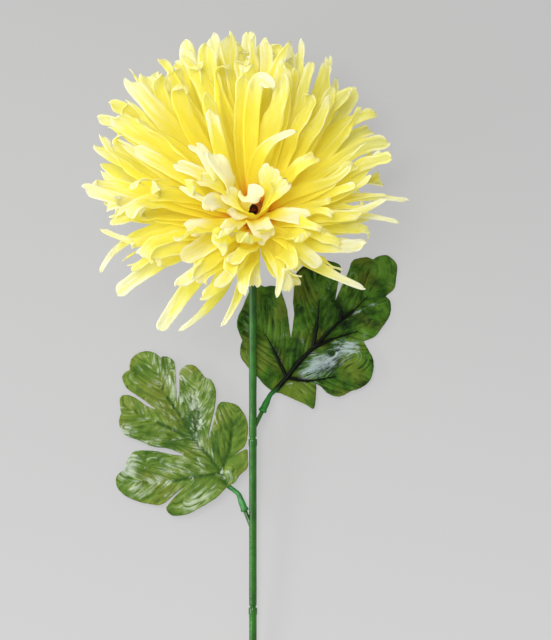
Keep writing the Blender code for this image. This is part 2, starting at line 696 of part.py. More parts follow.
def distance_to_ribs(leaf, x, y):
    """How far a point of a leaf is from its nearest rib, in mm like the outline."""
    nearest = 1000.0
    point = Vector((x, y))
    for rib in leaf.ribs:
        for start, end in zip(rib, rib[1:]):
            a = Vector(start)
            b = Vector(end)
            share = max(0.0, min(1.0, (point - a).dot(b - a) / (b - a).length_squared))
            nearest = min(nearest, (point - a.lerp(b, share)).length)
    return nearest


def leaf_point(leaf, x, y):
    """A point of the leaf's middle surface: it falls from its base, waves, and is creased at the ribs."""
    out = math.hypot(x, y) * MM / LEAF_FALL_REACH
    height = leaf.height - leaf.fall * out ** LEAF_FALL_POWER
    height += LEAF_WAVE * math.sin(LEAF_WAVES_ROUND * math.atan2(y, x) + leaf.wave_phase) * min(1.0, out)
    height -= CREASE_DEPTH * math.exp(-(distance_to_ribs(leaf, x, y) * MM / CREASE_WIDTH) ** 2)
    return Vector((leaf.base[0] + x * MM, leaf.base[1] + y * MM, max(height, 0.5 * LEAF_THICKNESS)))


def leaf_outline(leaf):
    return [Vector(point) for lobe in leaf.lobes for point in lobe]


def leaf_triangles(leaf):
    """The leaf's flat outline filled with near-even triangles whose edges run along the ribs."""
    points = leaf_outline(leaf)
    edges = [(index, (index + 1) % len(points)) for index in range(len(points))]
    for rib in leaf.ribs:
        start = len(points)
        points += [Vector(point) for point in rib]
        edges += [(index, index + 1) for index in range(start, len(points) - 1)]
    set_points = list(points)
    spacing = LEAF_SPACING / MM
    row = 0
    y = min(point.y for point in points)
    while y < max(point.y for point in set_points):
        x = min(point.x for point in set_points) + 0.5 * spacing * (row % 2)
        while x < max(point.x for point in set_points):
            spot = Vector((x, y))
            clear = all((spot - other).length > LEAF_CLEARANCE / MM for other in set_points)
            if clear and distance_to_ribs(leaf, x, y) > LEAF_CLEARANCE / MM:
                points.append(spot)
            x += spacing
        y += spacing * math.sqrt(0.75)
        row += 1
    filled = geometry.delaunay_2d_cdt(points, edges, [list(range(len(leaf_outline(leaf))))], 1, 1e-5)
    return filled[0], filled[2]


def make_leaf(name, leaf, finish):
    """The fabric leaf: the same triangles on both faces, a leaf's thickness apart."""
    flat_points, triangles = leaf_triangles(leaf)
    builder = bmesh.new()
    half = Vector((0.0, 0.0, 0.5 * LEAF_THICKNESS))
    tops = {}
    unders = {}
    for corner in sorted({corner for triangle in triangles for corner in triangle}):
        point = leaf_point(leaf, *flat_points[corner])
        tops[corner] = builder.verts.new(point + half)
        unders[corner] = builder.verts.new(point - half)
    for triangle in triangles:
        builder.faces.new([tops[corner] for corner in triangle])
        builder.faces.new([unders[corner] for corner in reversed(triangle)])
    below = {tops[corner]: unders[corner] for corner in tops}
    for edge in [edge for edge in builder.edges if edge.is_boundary and edge.verts[0] in below]:
        first, second = edge.verts
        builder.faces.new((first, second, below[second], below[first]))
    add_object(name, builder, finish)


def rib_radii(leaf, rib):
    thick = MIDRIB_RADIUS if rib is leaf.ribs[0] else SIDE_RIB_RADIUS
    steps = len(rib) - 1
    return [thick + (RIB_TIP_RADIUS - thick) * index / steps for index in range(len(rib))]


def rib_points(leaf, rib):
    """A rib's middle line, clear of the leaf on the side that its frame is on."""
    points = []
    for (x, y), radius in zip(rib, rib_radii(leaf, rib)):
        point = leaf_point(leaf, x, y)
        point.z += leaf.frame_side * (0.5 * LEAF_THICKNESS + GAP + radius)
        points.append(point)
    return points


def make_stalk(name, leaf, start_y, lean, finish):
    """The leaf's plastic stalk: a sleeve over the stem's peg, then ribs that carry the leaf."""
    start, way = stalk_start(start_y, lean, leaf)
    midrib = rib_points(leaf, leaf.ribs[0])
    sleeve_middle = 0.5 * (SLEEVE_START + STALK_STRAIGHT)
    sleeve_shoulder = STALK_STRAIGHT + 2.0 * SLEEVE_RADIUS
    path = [start + way * out for out in (SLEEVE_START, sleeve_middle, STALK_STRAIGHT, sleeve_shoulder)]
    radii = [SLEEVE_RADIUS] * 3 + [MIDRIB_RADIUS] + rib_radii(leaf, leaf.ribs[0])
    stalk = tube(name, path + midrib, radii, MIDRIB_SIDES, finish)
    side_ribs = [tube("side rib", rib_points(leaf, rib), rib_radii(leaf, rib), SIDE_RIB_SIDES)
                 for rib in leaf.ribs[1:]]
    unite(stalk, side_ribs)
    socket = [start + way * (SLEEVE_START - SLEEVE_RADIUS), start + way * (PEG_LENGTH + GAP)]
    cut(stalk, tube("socket", socket, [PEG_RADIUS + GAP] * 2, STEM_SIDES))
    shade_round(stalk)


clear_scene()
make_stem(make_material("green polyethylene", (0.05, 0.19, 0.06), 0.4))
make_wire(make_material("dull steel wire", (0.35, 0.34, 0.32), 0.45, 1.0))
make_calyx(make_material("calyx polyethylene", (0.06, 0.24, 0.07), 0.5))
make_bloom(make_material("yellow polyester cloth", (0.92, 0.76, 0.1), 0.8))
make_centre_peg(make_material("dark polyethylene", (0.05, 0.01, 0.005), 0.6))
make_leaf("leaf_lower", LOWER_LEAF, make_material("coated leaf cloth", (0.08, 0.22, 0.02), 0.4))
make_leaf("leaf_upper", UPPER_LEAF, make_material("dark coated leaf cloth", (0.05, 0.17, 0.02), 0.4))
light_plastic = make_material("light green polyethylene", (0.05, 0.28, 0.07), 0.45)
dark_plastic = make_material("black green polyethylene", (0.01, 0.06, 0.015), 0.4)
make_stalk("leaf_stalk_lower", *STALKS[0], light_plastic)
make_stalk("leaf_stalk_upper", *STALKS[1], dark_plastic)
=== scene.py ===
from functools import partial
import math
import random
from types import SimpleNamespace

import bmesh
import bpy
import numpy
from mathutils import Matrix, Vector, geometry, noise


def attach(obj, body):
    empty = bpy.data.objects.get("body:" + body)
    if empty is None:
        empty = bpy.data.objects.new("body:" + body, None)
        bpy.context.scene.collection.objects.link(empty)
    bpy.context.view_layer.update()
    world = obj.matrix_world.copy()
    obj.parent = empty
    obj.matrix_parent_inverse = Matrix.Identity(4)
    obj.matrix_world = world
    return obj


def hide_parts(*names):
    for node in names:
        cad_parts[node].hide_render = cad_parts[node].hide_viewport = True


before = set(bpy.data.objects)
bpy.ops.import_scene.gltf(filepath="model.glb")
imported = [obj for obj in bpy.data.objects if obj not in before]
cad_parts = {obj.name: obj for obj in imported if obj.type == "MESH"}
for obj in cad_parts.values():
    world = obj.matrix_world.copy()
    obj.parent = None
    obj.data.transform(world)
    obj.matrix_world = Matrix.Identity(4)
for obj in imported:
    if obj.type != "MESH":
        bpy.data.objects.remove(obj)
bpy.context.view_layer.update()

# An artificial spider chrysanthemum that lies on its back: a wired plastic stem, two cloth leaves on
# plastic ribs, and a bloom of cloth ribbons. The stem runs along +Y, +Z is up, one unit is one metre.


# Stem: green polyethylene moulded in lengths that plug together, with a collar at each joint, a
# mould seam down both sides, and a peg for each leaf. Its cut end shows the bore with the wire in it.
MM = 0.001
HEART = Vector((4.5, 80.0, 39.0)) * MM
BLOOM_LEAN = math.radians(30.0)
AXIS = Vector((0.0, math.sin(BLOOM_LEAN), math.cos(BLOOM_LEAN)))
STEM_RADIUS = 1.7 * MM
STEM_FOOT = Vector((4.5 * MM, -169.5 * MM, STEM_RADIUS))
STEM_TOP = HEART - AXIS * (13.9 * MM)
STEM_SIDES = 40
SEAM_RISE = 0.05
BORE_RADIUS = 1.0 * MM
BORE_SHOWN = 9.0 * MM
NECK_REACH = 9.0 * MM
NECK_STEPS = 14
NECK_CORNER = HEART - AXIS * (20.0 * MM + NECK_REACH)
STEM_WAY = (NECK_CORNER - STEM_FOOT).normalized()
RING_SPACING = 3.9 * MM
RIPPLE_LENGTH = 11.0 * MM
RIPPLE_HEIGHT = 0.06 * MM
JOINT_YS = (-102.5 * MM, -22.5 * MM, 57.5 * MM)
# Place along the stem and change of radius at a joint, in mm: a rounded collar, then a groove
JOINT_SHAPE = ((-4.2, 0.0), (-3.9, 0.10), (-3.4, 0.21), (-2.8, 0.25), (-1.2, 0.25), (-0.75, 0.20),
               (-0.5, 0.02), (-0.35, -0.32), (0.35, -0.32), (0.5, -0.12), (0.75, 0.02), (1.2, 0.0))
JOINT_MIDDLE = -1.5 * MM
JOINT_CLEARANCE = 3.5 * MM
PEG_RADIUS = 1.0 * MM
PEG_LENGTH = 13.5 * MM
PEG_SHAPE = ((0.0, 1.5 * MM), (2.0 * MM, PEG_RADIUS), (PEG_LENGTH - 0.3 * MM, PEG_RADIUS),
             (PEG_LENGTH, 0.8 * MM))
# Each leaf: where its stalk leaves the stem, the stalk's lean from the stem's way, and its ribs' foot
STALKS = {"lower": (-66.5 * MM, math.radians(-21.5), Vector((-8.0, -44.5, 5.88)) * MM),
          "upper": (-19.0 * MM, math.radians(26.0), Vector((15.5, 0.5, 6.48)) * MM)}


def linear(hex_colour):
    """An sRGB colour such as '#2F6E2F' as the linear colour that a shader takes."""
    parts = [int(hex_colour[place:place + 2], 16) / 255.0 for place in (1, 3, 5)]
    parts = [part / 12.92 if part <= 0.04045 else ((part + 0.055) / 1.055) ** 2.4 for part in parts]
    return (*parts, 1.0)


def set_inputs(made, inputs):
    """Gives each input of a node the socket, the value or the hex colour listed for it."""
    for key, value in inputs.items():
        if isinstance(value, bpy.types.NodeSocket):
            made.id_data.links.new(value, made.inputs[key])
        else:
            made.inputs[key].default_value = linear(value) if str(value).startswith("#") else value


def add_node(tree, kind, *values, stops=(), out=0, **settings):
    """Adds a node and gives back one output, or all for None. A kind in capitals is a step of arithmetic.
    Values go to the inputs in order, or by name in a dictionary; stops are a ramp's places and colours."""
    if kind in ("ADD", "MULTIPLY", "MAXIMUM") and len(values) > 2:
        values = (add_node(tree, kind, *values[:-1]), values[-1])
    if kind.isupper():
        kind, settings["operation"] = "Math", kind
    prefix = "ShaderNode" if hasattr(bpy.types, "ShaderNode" + kind) else "GeometryNode"
    made = tree.nodes.new(prefix + kind)
    for setting, value in settings.items():
        setattr(made, setting, value)
    for number, (place, colour) in enumerate(stops):
        elements = made.color_ramp.elements
        element = elements[number] if number < 2 else elements.new(place)
        element.position = place
        element.color = linear(colour)
    for number, value in enumerate(values):
        set_inputs(made, value if isinstance(value, dict) else {number: value})
    return made.outputs if out is None else made.outputs[out]


def new_finish(name):
    """A material with its Principled shader, and the function that adds a node to it."""
    finish = bpy.data.materials.new(name)
    finish.use_nodes = True
    return finish, finish.node_tree.nodes["Principled BSDF"], partial(add_node, finish.node_tree)


def put(name, contents):
    """An object at the origin, with its place in its contents."""
    made = bpy.data.objects.new(name, contents)
    bpy.context.scene.collection.objects.link(made)
    return made


def piece_from(name, builder, finish):
    """A smooth-shaded piece from a finished bmesh, with its faces turned outwards."""
    bmesh.ops.recalc_face_normals(builder, faces=builder.faces[:])
    mesh = bpy.data.meshes.new(name)
    builder.to_mesh(mesh)
    builder.free()
    mesh.materials.append(finish)
    mesh.shade_smooth()
    return put(name, mesh)


def skin(builder, rings, poles):
    """Joins rings of points, one after another, and closes each end on a pole."""
    rings = [[builder.verts.new(point) for point in ring] for ring in rings]
    for near, far in zip(rings, rings[1:]):
        for corner in range(len(near)):
            builder.faces.new((near[corner - 1], near[corner], far[corner], far[corner - 1]))
    for ring, pole in zip((rings[0], rings[-1]), poles):
        tip = builder.verts.new(pole)
        for corner in range(len(ring)):
            builder.faces.new((tip, ring[corner - 1], ring[corner]))


def sweep(builder, stations, sides, seam=0.0):
    """A closed skin round a path; each station is a centre, a way along and a radius."""
    side = Vector((1.0, 0.0, 0.0))
    rings = []
    for centre, along, radius in stations:
        side = (side - along * side.dot(along)).normalized()
        lift = side.cross(along)
        ring = []
        for corner in range(sides):
            turn = math.tau * corner / sides
            proud = 1.0 + seam * (corner % (sides // 2) == 0)
            ring.append(centre + (side * math.cos(turn) + lift * math.sin(turn)) * radius * proud)
        rings.append(ring)
    skin(builder, rings, (stations[0][0], stations[-1][0]))


def stem_at(y):
    """The point of the stem's middle line at a place along Y."""
    return STEM_FOOT + STEM_WAY * ((y - STEM_FOOT.y) / STEM_WAY.y)


def stalk_from(which, foot):
    """Where a leaf's stalk starts on the stem's middle line, and its way down to the leaf's foot."""
    start_y, lean, _ = STALKS[which]
    start = stem_at(start_y)
    fall = (foot.z - start.z) / math.hypot(foot.x - start.x, foot.y - start.y)
    return start, Vector((math.sin(lean), math.cos(lean), fall)).normalized()


# Out of the bore, over the rim of the cut end, and up the stem with its joints to the neck's bend
cut_end = ((BORE_SHOWN, BORE_RADIUS), (0.1 * MM, BORE_RADIUS), (0.0, BORE_RADIUS + 0.08 * MM),
           (0.0, STEM_RADIUS - 0.1 * MM), (0.12 * MM, STEM_RADIUS))
stations = [(STEM_FOOT + STEM_WAY * far, STEM_WAY, radius) for far, radius in cut_end]
stem_points = [(joint_y + far * MM, STEM_RADIUS + rise * MM)
               for joint_y in JOINT_YS for far, rise in JOINT_SHAPE]
y = STEM_FOOT.y + 0.8 * MM
while y < NECK_CORNER.y - NECK_REACH:
    if all(abs(y - joint_y - JOINT_MIDDLE) > JOINT_CLEARANCE for joint_y in JOINT_YS):
        ripple = noise.noise(Vector((0.0, y / RIPPLE_LENGTH, 3.0))) * RIPPLE_HEIGHT
        stem_points.append((y, STEM_RADIUS + ripple))
    y += RING_SPACING
stations += [(stem_at(y), STEM_WAY, radius) for y, radius in sorted(stem_points)]
neck_start = NECK_CORNER - STEM_WAY * NECK_REACH
neck_end = NECK_CORNER + AXIS * NECK_REACH
neck = [neck_start.lerp(NECK_CORNER, share).lerp(NECK_CORNER.lerp(neck_end, share), share)
        for share in [step / NECK_STEPS for step in range(NECK_STEPS + 1)]]
stations += [(centre, (after - before).normalized(), STEM_RADIUS)
             for before, centre, after in zip(neck, neck[1:], neck[2:])]
stations.append((STEM_TOP, AXIS, STEM_RADIUS))
builder = bmesh.new()
sweep(builder, stations, STEM_SIDES, SEAM_RISE)
for which, (_, _, foot) in STALKS.items():
    start, way = stalk_from(which, foot)
    sweep(builder, [(start + way * far, way, radius) for far, radius in PEG_SHAPE], 20)

stem_green, shader, node = new_finish("moulded green polyethylene")
# Waxy injection-moulded polyethylene: mid green with cloudy pigment, a dull sheen and faint flow marks
place = node("TexCoord", out="Object")
clouds = node("TexNoise", place, {"Scale": 1.0 / 0.007, "Detail": 4.0})
drawn = node("Mapping", place, {"Scale": (1.0, 0.06, 1.0)})
flow = node("TexNoise", drawn, {"Scale": 1.0 / 0.0006, "Detail": 3.0})
set_inputs(shader, {
    "Base Color": node("ValToRGB", clouds, stops=((0.30, "#18480A"), (0.72, "#2A6A14"))),
    "Roughness": node("MapRange", clouds, {"To Min": 0.16, "To Max": 0.28}),
    "Normal": node("Bump", {"Height": flow, "Strength": 0.35, "Distance": 0.00008}),
    "IOR": 1.5, "Specular IOR Level": 0.40,
    "Subsurface Weight": 0.08, "Subsurface Radius": (0.0006, 0.0012, 0.0004)})
stem = piece_from("stem_moulding", builder, stem_green)
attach(stem, "root")
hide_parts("stem")


# Wire: dull drawn steel that stiffens the stem, seen only in its cut end. The CAD solid stays and
# takes this finish.
wire_steel, shader, node = new_finish("drawn steel wire")
# Drawing leaves fine lines along the wire and a grey, half-dull surface
drawn = node("Mapping", node("TexCoord", out="Object"), {"Scale": (1.0, 0.02, 1.0)})
lines = node("TexNoise", drawn, {"Scale": 1.0 / 0.00012})
set_inputs(shader, {"Base Color": node("ValToRGB", lines, stops=((0.3, "#6F6D69"), (0.7, "#9B9893"))),
                    "Metallic": 1.0, "Roughness": 0.42})
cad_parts["stem_wire"].data.materials.clear()
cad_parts["stem_wire"].data.materials.append(wire_steel)


# Calyx: one polyethylene moulding, a thin cup of ten pointed sepals that grips the back of the
# bloom, with a socket below that the stem's end is pushed into.
CORE_RADIUS = 12.0 * MM
GAP = 0.3 * MM
CUP_WALL = 1.1 * MM
CUP_INSIDE = CORE_RADIUS + GAP
CUP_OUTSIDE = CUP_INSIDE + CUP_WALL
SEPALS = 10
CUP_SIDES = SEPALS * 12
SEPAL_TIP = math.radians(125.0)
SEPAL_NOTCH = math.radians(143.0)
SEPAL_POINT = 0.8
KEEL_HEIGHT = 0.25 * MM
KEEL_WIDTH = 0.25
SOCKET_TOP = -13.6 * MM
SOCKET_END = -20.0 * MM
SOCKET_WALL = 1.0 * MM
SOCKET_BORE = STEM_RADIUS + GAP
UPWARD = Vector((0.0, math.cos(BLOOM_LEAN), -math.sin(BLOOM_LEAN)))
RIGHTWARD = Vector((1.0, 0.0, 0.0))


def outward(azimuth):
    """The way out from the bloom's axis, clockwise seen from above, from the stem's way on."""
    return UPWARD * math.cos(azimuth) + RIGHTWARD * math.sin(azimuth)


def direction(polar, azimuth):
    """A way out from the heart, with its polar angle from the bloom's axis."""
    return AXIS * math.cos(polar) + outward(azimuth) * math.sin(polar)


def turned_ring(radius, height, sides):
    """Points round the bloom's axis, at a height along it from the heart."""
    middle = HEART + AXIS * height
    return [middle + outward(math.tau * corner / sides) * radius for corner in range(sides)]


# Each ring's shell, and its place from the cup's middle to its rim: out on the inside, back on the outside
shells = [(CUP_INSIDE, share) for share in (0.12, 0.25, 0.4, 0.55, 0.68, 0.8, 0.9, 0.98)]
shells.append((0.5 * (CUP_INSIDE + CUP_OUTSIDE), 1.0))
shells += [(CUP_OUTSIDE, share) for share in (0.98, 0.9, 0.8, 0.68, 0.55, 0.42)]
rings = []
for shell, share in shells:
    ring = []
    for corner in range(CUP_SIDES):
        azimuth = math.tau * corner / CUP_SIDES
        leafy = abs(math.cos(0.5 * SEPALS * azimuth)) ** SEPAL_POINT
        rim = SEPAL_NOTCH + (SEPAL_TIP - SEPAL_NOTCH) * leafy
        # A keel down the middle of each sepal, on the outside
        keel = KEEL_HEIGHT * max(0.0, 1.0 - (1.0 - leafy) / KEEL_WIDTH) * share * (shell == CUP_OUTSIDE)
        ring.append(HEART + direction(math.pi + (rim - math.pi) * share, azimuth) * (shell + keel))
    rings.append(ring)
throat = SOCKET_BORE + SOCKET_WALL
for radius, height in ((throat + 0.9 * MM, SOCKET_TOP), (throat + 0.2 * MM, SOCKET_TOP - SOCKET_WALL),
                       (throat, SOCKET_TOP - 2.0 * SOCKET_WALL), (throat, SOCKET_END + 0.2 * MM),
                       (throat - 0.2 * MM, SOCKET_END), (SOCKET_BORE + 0.1 * MM, SOCKET_END),
                       (SOCKET_BORE, SOCKET_END + 0.1 * MM), (SOCKET_BORE, SOCKET_TOP)):
    rings.append(turned_ring(radius, height, CUP_SIDES))
builder = bmesh.new()
skin(builder, rings, (HEART - AXIS * CUP_INSIDE, HEART + AXIS * SOCKET_TOP))
calyx = piece_from("calyx_cup", builder, stem_green)
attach(calyx, "root")
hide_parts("calyx")


# Peg: the dark red-brown end of the polyethylene peg that the petal layers are threaded on. Its
# domed head sits sunk in the bloom's eye, with a ring where it was trimmed from its sprue.
PEG_HEAD = 2.5 * MM
PEG_TOP = 10.6 * MM
DOME = 1.2 * MM
EYE_FLOOR = 8.0 * MM
PEG_FOOT = EYE_FLOOR + GAP


def turned(profile, sides):
    """A closed skin turned about the bloom's axis; its points are a radius and a height from the heart."""
    builder = bmesh.new()
    skin(builder, [turned_ring(*point, sides) for point in profile[1:-1]],
         [HEART + AXIS * profile[end][1] for end in (0, -1)])
    return builder


peg_profile = [(0.0, PEG_FOOT), (PEG_HEAD - 0.15 * MM, PEG_FOOT), (PEG_HEAD, PEG_FOOT + GAP)]
peg_profile += [(PEG_HEAD * math.cos(turn), PEG_TOP - DOME + DOME * math.sin(turn))
                for turn in map(math.radians, (0, 15, 30, 45, 58, 68))]
peg_profile += [(0.75 * MM, PEG_TOP - 0.12 * MM), (0.6 * MM, PEG_TOP - 0.3 * MM),
                (0.0, PEG_TOP - 0.34 * MM)]
peg_brown, shader, node = new_finish("dark red-brown polyethylene")
# Dyed polyethylene in deep red with a dull gloss; its near-black patches are painted shade for the bloom's
# eye
dye_and_shade = node("TexNoise", node("TexCoord", out="Object"), {"Scale": 1.0 / 0.0022, "Detail": 2.0})
set_inputs(shader, {"Base Color": node("ValToRGB", dye_and_shade, stops=((0.42, "#120504"), (0.60, "#6A1E0C"))),
                    "Roughness": 0.6, "Specular IOR Level": 0.15})
peg = piece_from("eye_peg", turned(peg_profile, 32), peg_brown)
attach(peg, "root")
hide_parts("centre_peg")


# Petals: ribbons cut from thin polyester cloth in stacked layers, heat-pressed with a channel, then
# curled at the tips. Orange dye pools at their roots, and they fade to cream at the tips and edges.
PETAL_CLOTH = 0.26 * MM
PETAL_FLOOR = 0.4 * MM
FLOOR_SOFTNESS = 2.0 * MM
STATIONS = 24
# More stations near the tip, where a petal curls and is torn
STATION_POWER = 1.7
# The middle line: pull of the Bezier handles, its curl, its sway and the hook at its end
ROOT_RADIUS = 7.5 * MM
ROOT_PULL = 0.38
TIP_PULL = 0.36
FACE_TURN_POWER = 1.5
CURL_START = 0.62
CURL_POWER = 2.2
CURL_RANGE = (-5.0 * MM, 6.0 * MM)
SWAY = 3.3 * MM
SWAY_TURNS = 1.6
HOOK = 6.0 * MM
HOOK_START = 0.66
# The width: at the root against the widest, which depends on the length, and where it is widest
ROOT_WIDTH = (0.36, 0.75)
SHORT_PETAL = 65.0 * MM
WIDEST = 0.48
RAGGED = 0.16
# The cloth's section: how deep its channel is, how sharp its fold and where that runs
CHANNEL = (-0.05, 0.30)
FOLD = (-0.35, 0.60)
FOLD_PLACE = (-0.5, 0.5)
FLUTE = (0.2, 1.0)
# The scatter of the layers: the bloom reaches furthest up to the left, and its front is pressed together
PETAL_SEED = 3
# How far the layers reach in mm, at every 30 degrees clockwise from the way the stem runs
REACHES = (86.0, 82.0, 75.0, 62.0, 60.0, 67.0, 68.0, 80.0, 79.0, 74.0, 85.0, 89.0)
REACH_SPREAD = (0.91, 1.05)
UPPER_REACH = 0.85
ROW_OFFSET = 0.618
PRESS_AZIMUTH = math.radians(182.0)
PRESS_POLAR = 0.34
PRESS_REACH = 0.14
PRESS_DROOP = math.radians(38.0)
PRESS_WIDTH = 0.28
UPPER_WIDTH = 0.45
RIGHT_THINNING = 0.30
WIDTH_SPREAD = (0.85, 1.15)
OPEN_FRONT_PRESS = 0.35
AZIMUTH_JITTER = math.radians(3.5)
POLAR_JITTER = math.radians(5.0)
DRIFT_JITTER = math.radians(8.0)
END_JITTER = math.radians(32.0)
TWIST_SPREAD = math.radians(36.0)
CREAM = (0.0, 0.42)
# Olive-grey near the tips: a random amount per petal, plus painted shade on the bloom's right side and on
# its outer rows
OLIVE = (-0.4, 0.90)
OLIVE_SHADE_RIGHT = 0.25
OLIVE_SHADE_INNER = -0.04
# Tips: width they taper to, where that starts, how many tip half widths they round over, end's width
TIP_SHAPES = ((0.92, 0.60, 1.1, 0.12), (0.85, 0.55, 0.9, 0.30), (0.80, 0.50, 1.3, 0.10),
              (0.72, 0.45, 1.2, 0.10), (0.65, 0.45, 1.6, 0.08), (0.52, 0.40, 1.8, 0.10),
              (0.38, 0.45, 2.4, 0.08))
# Lone petals are blunt in the heart, and further out pointed where they are narrow, else rounded
HEART_TIP = 46.0 * MM
NARROW = 3.3 * MM
BLUNT_TIP = (1.00, 0.60, 0.7, 0.45)
POINTED_TIP = (0.42, 0.45, 2.0, 0.08)
ROUND_TIP = (0.82, 0.55, 1.1, 0.10)
# Cut ends, against the half width: their slant, and how deep they are torn, more so in the heart
SLANT = 0.45
TEAR = (0.1, 1.0)
HEART_TEAR = 1.2
# The most of both against the petal's length, so that short ends do not fold over
MOST_SLANT = 0.045
MOST_TEAR = 0.14
TEAR_START = 0.8
# Tips that roll over: share of the petals, share of their length that rolls, and how far it turns
ROLLED = 0.34
ROLL_LENGTH = (0.09, 0.16)
ROLL_TURN = (math.radians(70.0), math.radians(170.0))
# Roots of lone petals stay between these angles from the bloom's axis
LONE_ROOT_POLARS = (math.radians(30.0), math.radians(104.0))
# Each layer: petals, polar angle at root and tip, reach against the furthest, half width in mm. The
# layers crowd upwards, by more from row to row, and leave the front open from a row on
CROWDING = (0.20, 0.07)
OPEN_ROW = 5
WHORLS = ((14, 104, 106, 0.86, 3.6), (15, 95, 94, 0.93, 3.7), (16, 86, 83, 0.98, 3.8),
          (16, 76, 73, 1.00, 3.9), (16, 66, 63, 0.97, 3.9), (14, 56, 53, 0.90, 3.8),
          (12, 47, 43, 0.78, 3.6), (8, 39, 34, 0.62, 3.3))
# Narrower petals between those, which close the bloom's face
FILL_CROWDING = (0.42, 0.05)
FILL_OPEN_ROW = 1
FILL_WHORLS = ((13, 99, 99, 0.84, 2.9), (14, 90, 89, 0.92, 3.0), (16, 81, 78, 0.97, 3.2),
               (17, 71, 68, 1.00, 3.3), (16, 61, 58, 0.95, 3.3), (6, 51, 48, 0.86, 3.1))
# Petals that stand out of their layer: the tip from the heart in mm (right, along the stem, up), the way
# the end points (degrees clockwise from along the stem, then down), half width in mm, how cream it is
LONE_PETALS = (
    (-19, 29, 36, 311, 0, 4.3, 1.5), (9, 23.5, 30, 20, -10, 5, 0.6), (4, 9.5, 33, 120, 15, 4.2, 1.5),
    (-13, 12, 31, 290, 20, 4.4, 0.6), (-35, 24.5, 36, 285, 0, 3.6, 0.8), (-33, 14, 37, 300, 10, 2.6, 1.2),
    (-25, 33, 38, 320, 0, 3.4, 1.2), (16, 17, 31, 60, 0, 4.2, 0.5), (-24, 18, 33, 275, 10, 3.6, 0.3),
    (-19.5, 3.5, 35, 185, 30, 3.9, 1.5), (-10.5, 1.5, 26, 245, 15, 2.9, 1.4), (7, -10, 34, 155, 25, 5, 1.4),
    (25, 0, 29, 100, 5, 3.9, 1.2), (-14.5, -11.5, 35, 205, 20, 3.8, 1.4), (-32, -19, 36, 240, 0, 4.8, 0.8),
    (-30, -5, 33, 262, 5, 4, 0.8), (20, 39.5, 38, 78, 0, 3.2, 0.9), (9, 59, 38, 150, 0, 3.7, 1),
    (-18.5, 48.5, 40, 350, -20, 3.5, 0.4), (-53.5, 31.5, 38, 300, -5, 3.7, 0.4),
    (-29, 32.5, 37, 290, 0, 3.2, 0.7), (-42.5, -51.5, 20, 210, 10, 3.8, 0.8),
    (-34, -51.5, 12, 240, 10, 2.7, 0.6), (-14, -49.5, 15, 215, 10, 2.5, 0.6),
    (-62.5, -34.5, 18, 230, 10, 3.8, 0.8), (-70.5, -24.5, 12, 205, 10, 2.7, 0.6),
    (51.5, -32, 25, 110, 5, 3.2, 0.9), (51.5, -12, 35, 80, 10, 3.3, 0.9), (71.5, 8.5, 12, 100, 0, 2.4, 0.7),
    (67.5, -1.5, 14, 105, 0, 2.3, 0.9), (61, 9, 25, 60, 0, 3, 0.8), (11, -36, 38, 200, 10, 3.1, 0.7),
    (-34, -31, 40, 235, 10, 3.5, 0.7), (-16.5, -31.5, 41, 230, 10, 3.3, 0.7),
    (0.5, -31, 28, 175, 10, 3.7, 0.4), (-77.5, 14, 22, 290, 0, 3.4, 0.8), (31, -22, 36, 130, 5, 4, 0.5),
    (16.5, -33.5, 34, 163, 15, 3.9, 0.8), (-62, 1.5, 34, 230, 0, 2.9, 0.6), (-69, -5, 28, 300, 0, 2.5, 0.7),
    (-52, -16.5, 36, 260, 0, 3.4, 0.7), (-18.5, 85.5, 8, 350, 0, 3.7, 0.6), (-1.5, 88, -5, 2, 0, 4.2, 0.6),
    (6, 81.5, 12, 355, 0, 3.6, 0.5), (-32, 80, -8, 335, 0, 3.5, 0.6), (-63, 46, 26, 300, 0, 5.4, 0.3),
    (-57, 64, 14, 318, 0, 5, 0.7),
)


def layer_petals(whorls, crowding, open_row, seed):
    """The petals in their layers, from the outermost in, with a seeded scatter and an open front."""
    draw = random.Random(seed)
    tone = random.Random(seed + 100)
    petals = []
    for row, (count, root_polar, tip_polar, share, half_width) in enumerate(whorls):
        for number in range(count):
            turn = math.tau * (number + ROW_OFFSET * row) / count
            azimuth = turn - (crowding[0] + crowding[1] * row) * math.sin(turn)
            azimuth += draw.uniform(-AZIMUTH_JITTER, AZIMUTH_JITTER)
            press = max(0.0, math.cos(azimuth - PRESS_AZIMUTH))
            if row >= open_row and press > OPEN_FRONT_PRESS:
                continue
            polar = math.radians(tip_polar) + draw.uniform(-POLAR_JITTER, POLAR_JITTER)
            polar *= 1.0 - PRESS_POLAR * press
            upper = max(0.0, math.cos(azimuth))
            right = max(0.0, math.sin(azimuth))
            reach = float(numpy.interp(math.degrees(azimuth), range(0, 360, 30), REACHES, period=360))
            reach *= MM * (share + (1.0 - share) * UPPER_REACH * upper)
            reach *= draw.uniform(*REACH_SPREAD) * (1.0 - PRESS_REACH * press)
            tip_azimuth = azimuth + draw.uniform(-DRIFT_JITTER, DRIFT_JITTER)
            end_polar = polar + draw.uniform(-END_JITTER, END_JITTER) + PRESS_DROOP * press
            end_azimuth = tip_azimuth + draw.uniform(-END_JITTER, END_JITTER)
            tip_way = direction(end_polar, end_azimuth)
            twist = Matrix.Rotation(draw.gauss(0.0, TWIST_SPREAD), 3, tip_way)
            wide = 1.0 + PRESS_WIDTH * press + UPPER_WIDTH * upper - RIGHT_THINNING * right
            petals.append(SimpleNamespace(
                root_polar=math.radians(root_polar) * (1.0 - 0.5 * PRESS_POLAR * press),
                root_azimuth=azimuth, tip=direction(polar, tip_azimuth) * reach, tip_way=tip_way,
                tip_face=twist @ direction(end_polar - 0.5 * math.pi, end_azimuth),
                half_width=half_width * MM * draw.uniform(*WIDTH_SPREAD) * wide,
                curl=draw.uniform(*CURL_RANGE), sway=draw.uniform(-SWAY, SWAY),
                hook=draw.uniform(-HOOK, HOOK), lone=False, cream=tone.uniform(*CREAM),
                olive=max(0.0, tone.uniform(*OLIVE) + OLIVE_SHADE_INNER * row + OLIVE_SHADE_RIGHT * math.sin(azimuth))))
    return petals


